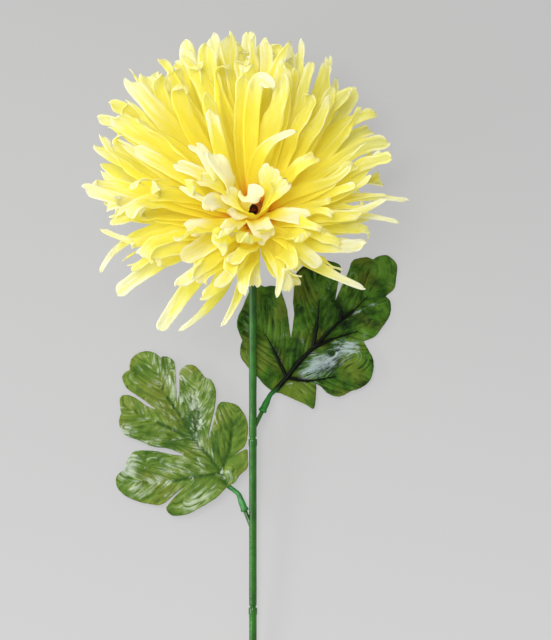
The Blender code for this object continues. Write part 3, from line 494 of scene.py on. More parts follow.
def lone_petals():
    """The petals listed one by one; each root points at the start of the tip's own way."""
    petals = []
    for right, along, up, heading, dip, half_width, cream in LONE_PETALS:
        tip = Vector((right, along, up)) * MM
        turn = math.radians(heading)
        fall = math.radians(dip)
        tip_way = Vector((math.sin(turn) * math.cos(fall), math.cos(turn) * math.cos(fall), -math.sin(fall)))
        toward = tip - tip_way * (TIP_PULL * tip.length)
        least, most = LONE_ROOT_POLARS
        petals.append(SimpleNamespace(
            root_polar=max(least, min(most, AXIS.angle(toward))),
            root_azimuth=math.atan2(toward.dot(RIGHTWARD), toward.dot(UPWARD)),
            tip=tip, tip_way=tip_way, tip_face=Vector((0.0, 0.0, 1.0)), half_width=half_width * MM,
            curl=0.0, sway=0.0, hook=0.0, lone=True, cream=cream, olive=0.0))
    return petals


def petal_point(petal, share):
    """The petal's middle line: a Bezier curve from the heart to a tip that may curl, off the floor."""
    root_way = direction(petal.root_polar, petal.root_azimuth)
    root = HEART + root_way * ROOT_RADIUS
    tip = HEART + petal.tip
    length = (tip - root).length
    first = root + root_way * (ROOT_PULL * length)
    second = tip - petal.tip_way * (TIP_PULL * length)
    rest = 1.0 - share
    point = root * rest ** 3 + first * (3.0 * share * rest ** 2)
    point += second * (3.0 * share ** 2 * rest) + tip * share ** 3
    if share > CURL_START:
        point += petal.tip_face * (petal.curl * ((share - CURL_START) / (1.0 - CURL_START)) ** CURL_POWER)
    hook = petal.hook * max(0.0, (share - HOOK_START) / (1.0 - HOOK_START)) ** 2
    sway = petal.sway * share * math.sin(SWAY_TURNS * math.pi * share)
    point += petal.tip_way.cross(petal.tip_face) * (sway + hook)
    spare = (point.z - PETAL_FLOOR) / FLOOR_SOFTNESS
    if spare < 12.0:
        point.z = PETAL_FLOOR + FLOOR_SOFTNESS * math.log(1.0 + math.exp(spare))
    return point


def petal_width(share, root_width, taper, taper_start, rounding, end_width):
    """Half width against the widest: narrow at the root, widest by the middle, then to a rounded tip."""
    swell = root_width + (1.0 - root_width) * math.sin(0.5 * math.pi * min(1.0, share / WIDEST))
    late = max(0.0, (share - taper_start) / (1.0 - taper_start))
    swell *= 1.0 - (1.0 - taper) * late * late * (3.0 - 2.0 * late)
    if share > 1.0 - rounding:
        round_share = math.sqrt(max(0.0, 1.0 - ((share - 1.0 + rounding) / rounding) ** 2))
        swell *= round_share * (1.0 - end_width) + end_width
    return swell


def guide_lines(name, lines):
    """A mesh of open lines that a tree grows on; each point is a dictionary of its place and its values."""
    mesh = bpy.data.meshes.new(name)
    points = [point for line in lines for point in line]
    last = numpy.cumsum([len(line) for line in lines]) - 1
    edges = [(index, index + 1) for index in range(len(points)) if index not in last]
    mesh.from_pydata([point.pop("point") for point in points], edges, [])
    for key in points[0]:
        column = numpy.array([point[key] for point in points], numpy.float32)
        kind, field = ("FLOAT", "value") if column.ndim == 1 else ("FLOAT_VECTOR", "vector")
        mesh.attributes.new(key, kind, "POINT").data.foreach_set(field, column.ravel())
    return mesh


def bake(piece, cloth=0.0):
    """Gives a piece its cloth's thickness and turns its modifiers into a plain mesh."""
    if cloth:
        thicken = piece.modifiers.new("cloth", "SOLIDIFY")
        thicken.thickness = cloth
        thicken.offset = 0.0
    plain = bpy.data.meshes.new_from_object(piece.evaluated_get(bpy.context.evaluated_depsgraph_get()))
    piece.modifiers.clear()
    piece.data = plain
    return piece


def grow(name, guide, tree, settings, cloth=0.0):
    """Runs a node tree on a guide mesh, with its inputs set by name, and bakes the result."""
    piece = put(name, guide)
    growth = piece.modifiers.new("growth", "NODES")
    growth.node_group = tree
    for item in tree.interface.items_tree:
        if item.name in settings:
            growth[item.identifier] = settings[item.name]
    bake(piece, cloth)
    bpy.data.meshes.remove(guide)
    return piece


def new_tree(name, result, **inputs):
    """A geometry node tree, the function that adds a node to it, and its inputs by label."""
    tree = bpy.data.node_groups.new(name, "GeometryNodeTree")
    for kind, labels in inputs.items():
        for label in labels:
            tree.interface.new_socket(label, in_out="INPUT", socket_type="NodeSocket" + kind)
    tree.interface.new_socket(result, in_out="OUTPUT", socket_type="NodeSocketGeometry")
    return tree, partial(add_node, tree), tree.nodes.new("NodeGroupInput").outputs


def end_tree(tree, shape, finish):
    """Ends a tree with real, smooth-shaded geometry in its material."""
    real = add_node(tree, "RealizeInstances", shape)
    smooth = add_node(tree, "SetShadeSmooth", real)
    dressed = add_node(tree, "SetMaterial", {"Geometry": smooth, "Material": finish})
    set_inputs(tree.nodes.new("NodeGroupOutput"), {0: dressed})
    return tree


def ribbon_tree():
    """Node tree that makes a cloth ribbon on each guide line: channelled, fluted and a little creased."""
    tree, node, given = new_tree(
        "petal ribbons", "Ribbons", Geometry=["Lines"], Int=["Across"], Material=["Cloth"],
        Float=["Flute height", "Flute spacing", "Crease height", "Crease size", "Floor"])
    half_width, along, channel, fold, fold_place, slant, tear, phase, flute_share = [
        node("InputNamedAttribute", key, data_type="FLOAT") for key in (
            "half_width", "along", "channel", "fold", "fold_place", "slant", "tear", "phase", "flute")]
    face, way = [node("InputNamedAttribute", key, data_type="FLOAT_VECTOR") for key in ("face", "way")]
    curves = node("MeshToCurve", given["Lines"])
    curves = node("SetCurveNormal", {"Curve": curves, "Normal": face}, mode="FREE")
    section = node("CurvePrimitiveLine", {"Start": (0.0, -1.0, 0.0), "End": (0.0, 1.0, 0.0)})
    section = node("ResampleCurve", {"Curve": section, "Count": given["Across"]})
    place = node("InputPosition")
    section = node("StoreNamedAttribute", {"Geometry": section, "Name": "across",
                                           "Value": node("SeparateXYZ", place, out="Y")}, data_type="FLOAT")
    across = node("InputNamedAttribute", "across", data_type="FLOAT")
    sheet = node("CurveToMesh", {"Curve": curves, "Profile Curve": section, "Scale": half_width})
    square = node("MULTIPLY", across, across)
    hollow = node("MULTIPLY", node("SUBTRACT", square, 1.0), channel, half_width)
    turn = node("MULTIPLY", node("DIVIDE", along, given["Flute spacing"]), math.tau)
    turn = node("ADD", turn, phase, node("MULTIPLY", across, 1.1))
    flute = node("MULTIPLY", node("SINE", turn), square, given["Flute height"], flute_share)
    crumple = node("TexNoise", place, {"Scale": node("DIVIDE", 1.0, given["Crease size"]), "Detail": 2.0})
    crumple = node("MULTIPLY", node("SUBTRACT", crumple, 0.5), given["Crease height"])
    crease = node("ABSOLUTE", node("SUBTRACT", across, fold_place))
    rise = node("ADD", hollow, flute, crumple, node("MULTIPLY", crease, fold, half_width))
    # The cut end: a slant across the ribbon, and a tear that is deeper at some of its places
    torn_place = node("CombineXYZ", node("MULTIPLY", across, 3.2), phase)
    torn = node("SUBTRACT", node("TexNoise", torn_place, {"Scale": 1.0}), 0.5)
    torn = node("ADD", node("MULTIPLY", torn, tear), node("MULTIPLY", slant, across))
    risen = node("VectorMath", face, {"Scale": rise}, operation="SCALE")
    torn = node("VectorMath", way, {"Scale": torn}, operation="SCALE")
    offset = node("VectorMath", risen, torn, operation="ADD")
    moved = node("SetPosition", {"Geometry": sheet, "Offset": offset})
    spot = node("SeparateXYZ", place, out=None)
    clear = node("CombineXYZ", spot["X"], spot["Y"], node("MAXIMUM", spot["Z"], given["Floor"]))
    return end_tree(tree, node("SetPosition", {"Geometry": moved, "Position": clear}), given["Cloth"])


petal_cloth, shader, node = new_finish("heat-pressed polyester cloth")
# Thin dyed polyester: light passes through it, pressed streaks run along it, and it has next to no gloss. It
# also glows faintly in its own colours, a painted glow that lifts the shade between the petals
SMOOTH = {"interpolation_type": "SMOOTHSTEP"}
MIX = {"data_type": "RGBA", "out": 2}
share, across, along, wide, cream, olive, phase = [
    node("Attribute", attribute_name=key, out="Fac")
    for key in ("share", "across", "along", "half_width", "cream", "olive", "phase")]
body = node("ValToRGB", share, stops=((0.03, "#CC6A10"), (0.11, "#E2AC26"), (0.21, "#E2CB36"),
                                      (0.70, "#E0D142"), (1.0, "#DCD25A")))
aside = node("MULTIPLY", across, wide)
# Streaks 1.3 mm wide and 12 mm long
streaks = node("CombineXYZ", node("DIVIDE", aside, 0.0013), node("DIVIDE", along, 0.012),
               node("MULTIPLY", phase, 7.0))
streaks = node("TexNoise", streaks, {"Scale": 1.0, "Detail": 3.0, "Roughness": 0.6})
outer = node("MapRange", share, 0.48, 0.92, **SMOOTH)
rim = node("MULTIPLY", node("SUBTRACT", 1.0, node("ABSOLUTE", across)), wide)
rim = node("MULTIPLY", node("MapRange", rim, 0.0003, 0.0019, 1.0, 0.0, **SMOOTH), outer)
fade = node("MapRange", share, node("SUBTRACT", 0.92, node("MULTIPLY", cream, 0.45)), 1.02, **SMOOTH)
pale = node("MULTIPLY", fade, node("ADD", 0.25, node("MULTIPLY", cream, 0.75)))
brushed = node("MULTIPLY", node("SUBTRACT", streaks, 0.5), node("ADD", 0.25, node("MULTIPLY", outer, 2.6)))
pale = node("Clamp", node("ADD", pale, node("MULTIPLY", rim, 0.30), brushed))
faded = node("Mix", {0: pale, 6: body, 7: "#E1DEA6"}, **MIX)
# Olive-grey on the petals' outer parts: partly a random tint, partly painted shade on the right side and the
# outer rows
olive = node("MULTIPLY", olive, outer, node("SUBTRACT", 1.0, rim),
             node("SUBTRACT", 1.9, node("MULTIPLY", streaks, 1.8)))
dulled = node("Mix", {0: node("Clamp", olive), 6: faded, 7: "#B2B064"}, **MIX)
# Warp and weft, a thread each 0.31 mm, coarser than the real cloth's so that they show
threads = {"Vector": node("CombineXYZ", aside, along), "Scale": 1000.0}
weave = node("ADD", *[node("TexWave", threads, bands_direction=way, out="Fac") for way in "XY"])
height = node("ADD", streaks, node("MULTIPLY", weave, 0.12))
# The emission is painted light: a faint glow in the cloth's own colours that brightens the shade between the
# petals
set_inputs(shader, {
    "Base Color": dulled, "Normal": node("Bump", {"Height": height, "Strength": 0.8, "Distance": 0.0004}),
    "Emission Color": dulled, "Emission Strength": 0.20, "Roughness": 0.72, "Specular IOR Level": 0.2,
    "Subsurface Weight": 0.8, "Subsurface Radius": (0.0040, 0.0036, 0.0014), "Subsurface Scale": 1.0})

lines = []
draw = random.Random(PETAL_SEED + 2)
all_petals = layer_petals(WHORLS, CROWDING, OPEN_ROW, PETAL_SEED) + lone_petals()
all_petals += layer_petals(FILL_WHORLS, FILL_CROWDING, FILL_OPEN_ROW, PETAL_SEED + 3)
for petal in all_petals:
    root_face = direction(petal.root_polar - 0.5 * math.pi, petal.root_azimuth)
    length = (HEART + petal.tip - petal_point(petal, 0.0)).length
    # Tips run from blunt and torn to long and pointed
    tip_shape = draw.choice(TIP_SHAPES)
    heart_petal = petal.lone and petal.tip.length < HEART_TIP
    if petal.lone:
        tip_shape = BLUNT_TIP if heart_petal else POINTED_TIP if petal.half_width < NARROW else ROUND_TIP
    taper, taper_start, blunt, end_width = tip_shape
    rounding = taper * petal.half_width / length * blunt
    root_width = max(ROOT_WIDTH[0], min(ROOT_WIDTH[1], 1.0 - length / SHORT_PETAL))
    channel = draw.uniform(*CHANNEL)
    fold = draw.uniform(*FOLD)
    fold_place = draw.uniform(*FOLD_PLACE)
    slant = draw.uniform(-SLANT, SLANT) * petal.half_width
    slant = max(-MOST_SLANT * length, min(MOST_SLANT * length, slant))
    tear = (draw.uniform(*TEAR) + HEART_TEAR * heart_petal) * petal.half_width
    tear = min(tear, MOST_TEAR * length)
    phase = draw.uniform(0.0, 6.0)
    flute_share = draw.uniform(*FLUTE)
    rolled = draw.random() < ROLLED and not petal.lone
    roll_length = draw.uniform(*ROLL_LENGTH)
    roll_turn = draw.uniform(*ROLL_TURN) * draw.choice((1.0, 1.0, -1.0))
    line = []
    for step in range(STATIONS):
        share = 1.0 - (1.0 - step / (STATIONS - 1)) ** STATION_POWER
        point = petal_point(petal, share)
        along = (petal_point(petal, share + 0.01) - petal_point(petal, share - 0.01)).normalized()
        side = along.cross(root_face.lerp(petal.tip_face, share ** FACE_TURN_POWER)).normalized()
        if rolled and share > 1.0 - roll_length:
            # The end leaves the petal's line on an arc, towards its face or its back
            turn = roll_turn * (share - 1.0 + roll_length) / roll_length
            arc = roll_way * math.sin(turn) + roll_face * (1.0 - math.cos(turn))
            point = roll_from + arc * (roll_length * length / roll_turn)
            along = roll_way * math.cos(turn) + roll_face * math.sin(turn)
            side = roll_way.cross(roll_face)
        else:
            roll_from, roll_way, roll_face = point, along, side.cross(along)
        ragged = 1.0 + RAGGED * share * noise.noise(Vector((share * 12.0, phase * 5.0, 0.0)))
        width = petal_width(share, root_width, taper, taper_start, rounding, end_width) * ragged
        torn = max(0.0, (share - TEAR_START) / (1.0 - TEAR_START)) ** 2
        line.append({
            "point": point, "half_width": petal.half_width * width, "face": side.cross(along), "way": along,
            "along": share * length, "share": share, "channel": channel, "fold": fold * (0.3 + 0.7 * share),
            "fold_place": fold_place, "slant": slant * torn, "tear": tear * torn, "phase": phase,
            "flute": flute_share * share ** 1.5, "cream": petal.cream, "olive": petal.olive})
    lines.append(line)
petals = grow("petal_ribbons", guide_lines("petal lines", lines), ribbon_tree(), {
    "Across": 9, "Flute height": 1.4 * MM, "Flute spacing": 15.0 * MM, "Crease height": 2.9 * MM,
    "Crease size": 9.0 * MM, "Floor": 0.5 * PETAL_CLOTH, "Cloth": petal_cloth}, PETAL_CLOTH)
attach(petals, "root")
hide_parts("bloom")


# Core: the stack of the petal layers' pierced middles, pressed to a small ball round the peg. It is
# cloth too, seen only as orange depths between the petals' roots.
CORE_SHOWN = 9.5 * MM
core_profile = [(0.0, EYE_FLOOR - 1.5 * MM), (2.6 * MM, EYE_FLOOR - 1.5 * MM)]
for step in range(15):
    polar = math.radians(18.0 + 150.0 * step / 14)
    layer = 1.0 + 0.03 * (step % 2)
    core_profile.append((CORE_SHOWN * math.sin(polar), CORE_SHOWN * math.cos(polar) * layer))
core_profile.append((0.0, -CORE_SHOWN))
core_cloth, shader, node = new_finish("orange-dyed polyester cloth")
# Dye pools where the layers are pierced, so it is deep orange, browner in the hollows
pool = node("TexNoise", node("TexCoord", out="Object"), {"Scale": 1.0 / 0.003, "Detail": 3.0})
set_inputs(shader, {"Base Color": node("ValToRGB", pool, stops=((0.3, "#8E3F0C"), (0.7, "#D98A1F"))),
                    "Normal": node("Bump", {"Height": pool, "Strength": 0.6, "Distance": 0.0006}),
                    "Roughness": 0.85})
core = piece_from("petal_core", turned(core_profile, 40), core_cloth)
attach(core, "root")


# Lower leaf: coated polyester cloth, cut in lobes and heat-pressed so that it puffs up between its
# veins. Pale streaks of painted highlight lie on its coating, and the ribs below it show as creases.
LEAF_CLOTH = 0.5 * MM
# From here to the stalks, sizes are in mm. The leaf falls from its base and waves round it
LEAF_FALL_REACH = 70.0
LEAF_FALL_POWER = 1.3
LEAF_WAVES_ROUND = 5.0
CREASE_WIDTH = 3.6
CREASE_DEPTH = 0.8
# Width and depth of the grooves pressed at the ribs and the veins
RIB_GROOVE = (0.9, 0.3)
VEIN_GROOVE = (1.2, 0.55)
VEIN_SPACING = 5.4
VEIN_LEAN = math.radians(40.0)
VEIN_BEND = math.radians(2.0)
VEIN_STEP = 1.5
MOST_VEIN_POINTS = 12
LEAF_SPACING = 0.55
ROW_SPACING = 0.866 * LEAF_SPACING
FOLD_SIZE = (1.1, 6.5)
FOLD_HEIGHT = 0.34
RIPPLE_SIZE = 4.0
RIPPLE_RISE = 0.25
LIFT_SIZE = 9.0
EDGE_LIFT = 1.1
EDGE_REACH = 3.5
OUTLINE_STEPS = 5
FRAY = 0.16
# Points are from the leaf's base. Each lobe starts in the notch before it. Sheen patches gather the pale
# streaks of painted highlight, and one keeps them off: middle, half length, half width, heading in degrees,
# strength
LOWER_LEAF = SimpleNamespace(
    base=Vector((-8.0, -46.0, 8.4)), fall=6.4, wave_phase=0.4, frame_side=-1.0, seed=3,
    lobes=(
        ((0, 0), (-5, -5), (-11.5, -9), (-18, -12.5), (-24, -13.5), (-27, -12.5), (-28.5, -10), (-27, -7.5),
         (-24, -4)),
        ((-19, 1), (-23.5, -2.5), (-30.5, -8), (-36, -8), (-42.5, -6.5), (-48, -4), (-51.5, -0.5),
         (-52.5, 3.5), (-51, 6.5)),
        ((-48, 8.5), (-47.5, 11.5), (-46, 14.5), (-43.5, 17), (-38.5, 17.5), (-32.5, 17), (-25.5, 15.5)),
        ((-20, 15), (-22.5, 16.5), (-28, 18.5), (-35.5, 19.5), (-42, 22.5), (-47.5, 24.5), (-50, 27.5),
         (-51, 31)),
        ((-50, 35), (-50.5, 38.5), (-50.5, 42), (-49, 43.5), (-46, 43.5), (-42, 41.5), (-38, 38.5)),
        ((-33, 36.5), (-37.5, 40), (-42.5, 43.5), (-47, 46.5), (-49, 50), (-49.5, 52.5), (-48, 54.5)),
        ((-46, 55.5), (-46, 58), (-45, 61), (-42, 63.5), (-38, 64.5), (-34, 63.5)),
        ((-31.5, 61.5), (-29.5, 62), (-26.5, 61), (-24.5, 58), (-24, 48)),
        ((-23.5, 39.5), (-22.5, 46.5), (-22.5, 53), (-21.5, 56), (-18.5, 58), (-15, 57.5)),
        ((-12.5, 55), (-10, 52), (-7.5, 51), (-5.5, 47.5), (-5, 43.5), (-5.5, 38.5), (-6.5, 34), (-8, 27)),
        ((-9, 21.5), (-6.5, 29.5), (-5, 36), (-4, 39), (-2, 40.5), (2, 40), (5.5, 38.5), (8.5, 34.5),
         (10, 30), (10, 25), (8.5, 19.5)),
        ((4, 15.5), (9.5, 18), (10, 14.5), (10, 9.5), (6.5, 6), (4, 2.5)),
    ), ribs=(
        ((0, 1.5), (-2.5, 7), (-8, 14.5), (-14.5, 21.5), (-18.5, 29.5), (-23, 35.5), (-28, 42.5),
         (-32, 50)),
        ((-2.5, 7), (-10.5, 5.5), (-17.5, 4.5), (-24.5, 3), (-38, 2)),
        ((-14.5, 21.5), (-24.5, 27), (-32.5, 30.5), (-41, 35)),
        ((-14.5, 21.5), (-13.5, 29.5), (-13, 37.5), (-15, 46.5)),
        ((-2.5, 7), (1.5, 18), (2.5, 26.5), (3, 33)),
    ), milk=(
        ((-46.5, 9.5), 9, 6.5, 20, 0.9), ((-37.5, 3), 10, 4, 85, 0.6), ((-13, 10.5), 6, 3.5, 40, 0.5),
        ((-21, 11), 7, 4, 140, 0.5), ((-14, -6), 9.5, 4.2, 60, 0.7), ((1, 5), 4.5, 3, 130, 0.6),
        ((-8.5, 18), 8, 2.4, 150, 0.5), ((-47, 27), 6, 4.5, 60, 0.6), ((-14, 34), 17, 9, 175, 0.6),
        ((-26, 50), 14, 7.5, 155, 0.6), ((-28, 10), 8, 2, 130, 0.5), ((4, 22), 15, 9, 10, -0.7),
        ((-32, 22), 9, 5, 60, 0.4), ((-40, -3), 8, 3, 70, 0.4),
    ))


def smooth_outline(leaf):
    """The lobes' points joined by Catmull-Rom curves that break at the notches, slightly frayed."""
    outline = []
    for lobe, following in zip(leaf.lobes, leaf.lobes[1:] + leaf.lobes[:1]):
        points = [Vector(point) for point in lobe + following[:1]]
        points = [2.0 * points[0] - points[1]] + points + [2.0 * points[-1] - points[-2]]
        for before, start, end, after in zip(points, points[1:], points[2:], points[3:]):
            outwards = (end - start).orthogonal().normalized()
            for step in range(OUTLINE_STEPS):
                share = step / OUTLINE_STEPS
                spot = 0.5 * (2.0 * start + (end - before) * share
                              + (2.0 * before - 5.0 * start + 4.0 * end - after) * share ** 2
                              + (3.0 * start - before - 3.0 * end + after) * share ** 3)
                rough = noise.noise(Vector((spot.x * 1.3, spot.y * 1.3, leaf.seed)))
                outline.append(spot + outwards * (FRAY * rough))
    return outline


def inside(outline, spot):
    """Whether a point is within a closed outline."""
    crossings = 0
    for start, end in zip(outline, outline[1:] + outline[:1]):
        if (start.y > spot.y) != (end.y > spot.y):
            crossings += spot.x < start.x + (end.x - start.x) * (spot.y - start.y) / (end.y - start.y)
    return crossings % 2 == 1


def measure(lines, spots):
    """For each point: how far the nearest line is, and how far along it that is, lines laid end to end."""
    nearest = numpy.full(len(spots), 1000.0)
    along = numpy.zeros(len(spots))
    run = 0.0
    for line in lines:
        for start, end in zip(line, line[1:]):
            first = numpy.array(start[:2])
            step = numpy.array(end[:2]) - first
            share = numpy.clip((spots - first) @ step / (step @ step), 0.0, 1.0)
            distance = numpy.hypot(*(spots - first - share[:, None] * step).T)
            closer = distance < nearest
            nearest = numpy.where(closer, distance, nearest)
            along = numpy.where(closer, run + share * math.hypot(*step), along)
            run += math.hypot(*step)
        run += 50.0
    return nearest, along


def bump_shape(distance, size):
    """A round bump of height one: its height at a distance from its middle."""
    return numpy.exp(-(distance / size) ** 2)


def lumps(places, size, layer):
    """Smooth noise of a lump size, from about -1 to 1, at each place; layers differ."""
    return numpy.array([noise.noise(Vector((x / size[0], y / size[1], layer))) for x, y in places])


def side_veins(leaf, outline):
    """Veins that leave each rib on both sides and bend towards its way, up to the edge or their reach."""
    veins = []
    for rib in leaf.ribs:
        points = [Vector(point) for point in rib]
        spot_along = VEIN_SPACING * 0.6
        side = 1.0
        while True:
            far = spot_along
            for start, end in zip(points, points[1:]):
                if far < (end - start).length:
                    break
                far -= (end - start).length
            else:
                break
            way = (end - start).normalized()
            vein = [start + way * far]
            way.rotate(Matrix.Rotation(side * VEIN_LEAN, 2))
            while len(vein) < MOST_VEIN_POINTS and inside(outline, vein[-1] + way * VEIN_STEP):
                vein.append(vein[-1] + way * VEIN_STEP)
                way.rotate(Matrix.Rotation(-side * VEIN_BEND, 2))
            if len(vein) > 2:
                veins.append(vein)
            side = -side
            spot_along += 0.5 * VEIN_SPACING
    return veins


def leaf_heights(leaf, spots):
    """Heights of the leaf's middle layer: it falls from its base, waves, and creases at the ribs."""
    out = numpy.hypot(*spots.T) / LEAF_FALL_REACH
    waves = numpy.sin(LEAF_WAVES_ROUND * numpy.arctan2(spots[:, 1], spots[:, 0]) + leaf.wave_phase)
    heights = leaf.base.z - leaf.fall * out ** LEAF_FALL_POWER + waves * numpy.minimum(1.0, out)
    return heights - CREASE_DEPTH * bump_shape(measure(leaf.ribs, spots)[0], CREASE_WIDTH)


def leaf_sheet(name, leaf, finish):
    """The leaf as a closed cloth sheet, with what its colours follow kept at its points."""
    outline = smooth_outline(leaf)
    veins = side_veins(leaf, outline)
    edge_line = outline + outline[:1]
    low, high = [Vector([pick(point[axis] for point in outline) for axis in (0, 1)]) for pick in (min, max)]
    grid = [(low.x + (column + 0.5 * (row % 2)) * LEAF_SPACING, low.y + row * ROW_SPACING)
            for row in range(int((high.y - low.y) / ROW_SPACING) + 1)
            for column in range(int((high.x - low.x) / LEAF_SPACING) + 1)]
    away = measure([edge_line], numpy.array(grid))[0]
    points = outline + [Vector(spot) for spot, distance in zip(grid, away)
                        if distance > 0.55 * LEAF_SPACING and inside(outline, Vector(spot))]
    edges = [(index, (index + 1) % len(outline)) for index in range(len(outline))]
    flat, _, triangles = geometry.delaunay_2d_cdt(points, edges, [list(range(len(outline)))], 1, 1e-5)[:3]
    spots = numpy.array([tuple(point) for point in flat])
    to_rib = measure(leaf.ribs, spots)[0]
    # The painted shade along a rib ends before the rib does, so that the rib seems to run out
    to_rib_shade = measure([rib[:-1] for rib in leaf.ribs], spots)[0]
    to_vein, vein_run = measure(veins, spots)
    to_edge = measure([edge_line], spots)[0]
    # Folds lie along the veins, and finer ones beside them
    beside = numpy.stack((to_vein, vein_run), 1)
    ridge = lumps(beside, FOLD_SIZE, leaf.seed) + 0.5 * lumps(beside * (2.1, 1.7), FOLD_SIZE, 4.0)
    heights = leaf_heights(leaf, spots) + FOLD_HEIGHT * ridge
    heights += VEIN_GROOVE[1] * (0.4 - bump_shape(to_vein, VEIN_GROOVE[0]))
    heights -= RIB_GROOVE[1] * bump_shape(to_rib, RIB_GROOVE[0])
    heights += RIPPLE_RISE * lumps(spots, (RIPPLE_SIZE, RIPPLE_SIZE), leaf.seed)
    lift = lumps(spots, (LIFT_SIZE, LIFT_SIZE), leaf.seed + 7)
    heights += EDGE_LIFT * lift * numpy.exp(-to_edge / EDGE_REACH)
    milk = numpy.zeros(len(spots))
    for middle, length, width, heading, strength in leaf.milk:
        along = numpy.array((math.sin(math.radians(heading)), math.cos(math.radians(heading))))
        away = spots - numpy.array(middle)
        far = numpy.hypot(away @ along / length, away @ (along[::-1] * (1.0, -1.0)) / width)
        patch = strength * bump_shape(far, 1.0)
        milk = numpy.where(numpy.abs(patch) > numpy.abs(milk), patch, milk)
    places = numpy.column_stack((spots + leaf.base[:2], heights)) * MM
    places[:, 2] = numpy.maximum(places[:, 2], 0.5 * LEAF_CLOTH)
    mesh = bpy.data.meshes.new(name)
    mesh.from_pydata(places.tolist(), [], triangles)
    kept = {"rib": to_rib_shade, "vein": to_vein, "run": vein_run, "milk": milk, "ridge": ridge}
    for key, column in kept.items():
        mesh.attributes.new(key, "FLOAT", "POINT").data.foreach_set("value", column.astype(numpy.float32))
    mesh.materials.append(finish)
    mesh.shade_smooth()
    return bake(put(name, mesh), LEAF_CLOTH)


def coated_cloth(name, shades, brown, sheen_colour, sheen_start, rib_shade, gloss):
    """Leaf cloth under a coating: mottled greens, painted shade along ribs and veins and in folds, and pale
    streaks of painted highlight.
    """
    finish, shader, node = new_finish(name)
    rib, vein, run, milk, ridge = [node("Attribute", attribute_name=key, out="Fac")
                                   for key in ("rib", "vein", "run", "milk", "ridge")]
    place = node("TexCoord", out="Object")
    clouds = node("TexNoise", place, {"Scale": 1.0 / 0.009, "Detail": 4.0, "Roughness": 0.6})
    patches = node("TexNoise", place, {"Scale": 1.0 / 0.016, "Detail": 3.0})
    # Distances to a vein and along it are in mm here, so the grain's streaks are 0.36 mm by 5 mm
    grain = node("CombineXYZ", node("DIVIDE", vein, 0.36), node("DIVIDE", run, 5.0))
    grain = node("TexNoise", grain, {"Scale": 1.0, "Detail": 4.0, "Roughness": 0.75})
    grain = node("SUBTRACT", grain, 0.5)
    greens = node("ValToRGB", clouds, stops=zip((0.30, 0.45, 0.58, 0.72), shades))
    browned = node("MapRange", patches, 0.46, 0.62, 0.0, 0.7, **SMOOTH)
    greens = node("Mix", {0: browned, 6: greens, 7: brown}, **MIX)
    # Painted shade: darker along the ribs, on the pressed veins and in the hollows of the folds
    shade = node("MAXIMUM", node("MapRange", rib, *rib_shade, 0.95, 0.0, **SMOOTH),
                 node("MapRange", vein, 0.0, 0.8, 0.55, 0.0, **SMOOTH),
                 node("MapRange", node("ADD", ridge, grain), -0.15, -0.60, 0.0, 0.75, **SMOOTH))
    dark = node("Mix", {0: shade, 6: greens, 7: shades[0]}, **MIX)
    # Painted highlights: pale streaks on the folds' ridges and in the sheen patches, where the coating's
    # gloss catches the light
    painted_sheen = node("ADD", node("MULTIPLY", ridge, 0.55), node("MULTIPLY", grain, 1.5),
                node("MULTIPLY", node("SUBTRACT", clouds, 0.5), 0.8), node("MULTIPLY", milk, 0.55))
    painted_sheen = node("MapRange", painted_sheen, sheen_start - 0.06, sheen_start + 0.48, 0.0, 0.80, **SMOOTH)
    threads = node("TexNoise", place, {"Scale": 1.0 / 0.0006, "Detail": 2.0})
    height = node("ADD", node("MULTIPLY", grain, 1.6), node("MULTIPLY", threads, 0.3))
    set_inputs(shader, {"Base Color": node("Mix", {0: painted_sheen, 6: dark, 7: sheen_colour}, **MIX),
                        "Normal": node("Bump", {"Height": height, "Strength": 0.7, "Distance": 0.0005}),
                        "Roughness": 0.42, "Specular IOR Level": gloss})
    return finish


leaf_cloth = coated_cloth(
    "coated leaf cloth, light", ("#2A4C0E", "#4F6C1C", "#637C28", "#7C8E3E"), brown="#6E7A28",
    sheen_colour="#B4C0AC", sheen_start=0.19, rib_shade=(0.35, 1.3), gloss=0.16)
# Coated polyester: olive greens under a thin, half-glossy skin, with pale streaks of painted highlight
lower_leaf = leaf_sheet("lower_leaf_cloth", LOWER_LEAF, leaf_cloth)
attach(lower_leaf, "root")
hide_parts("leaf_lower")
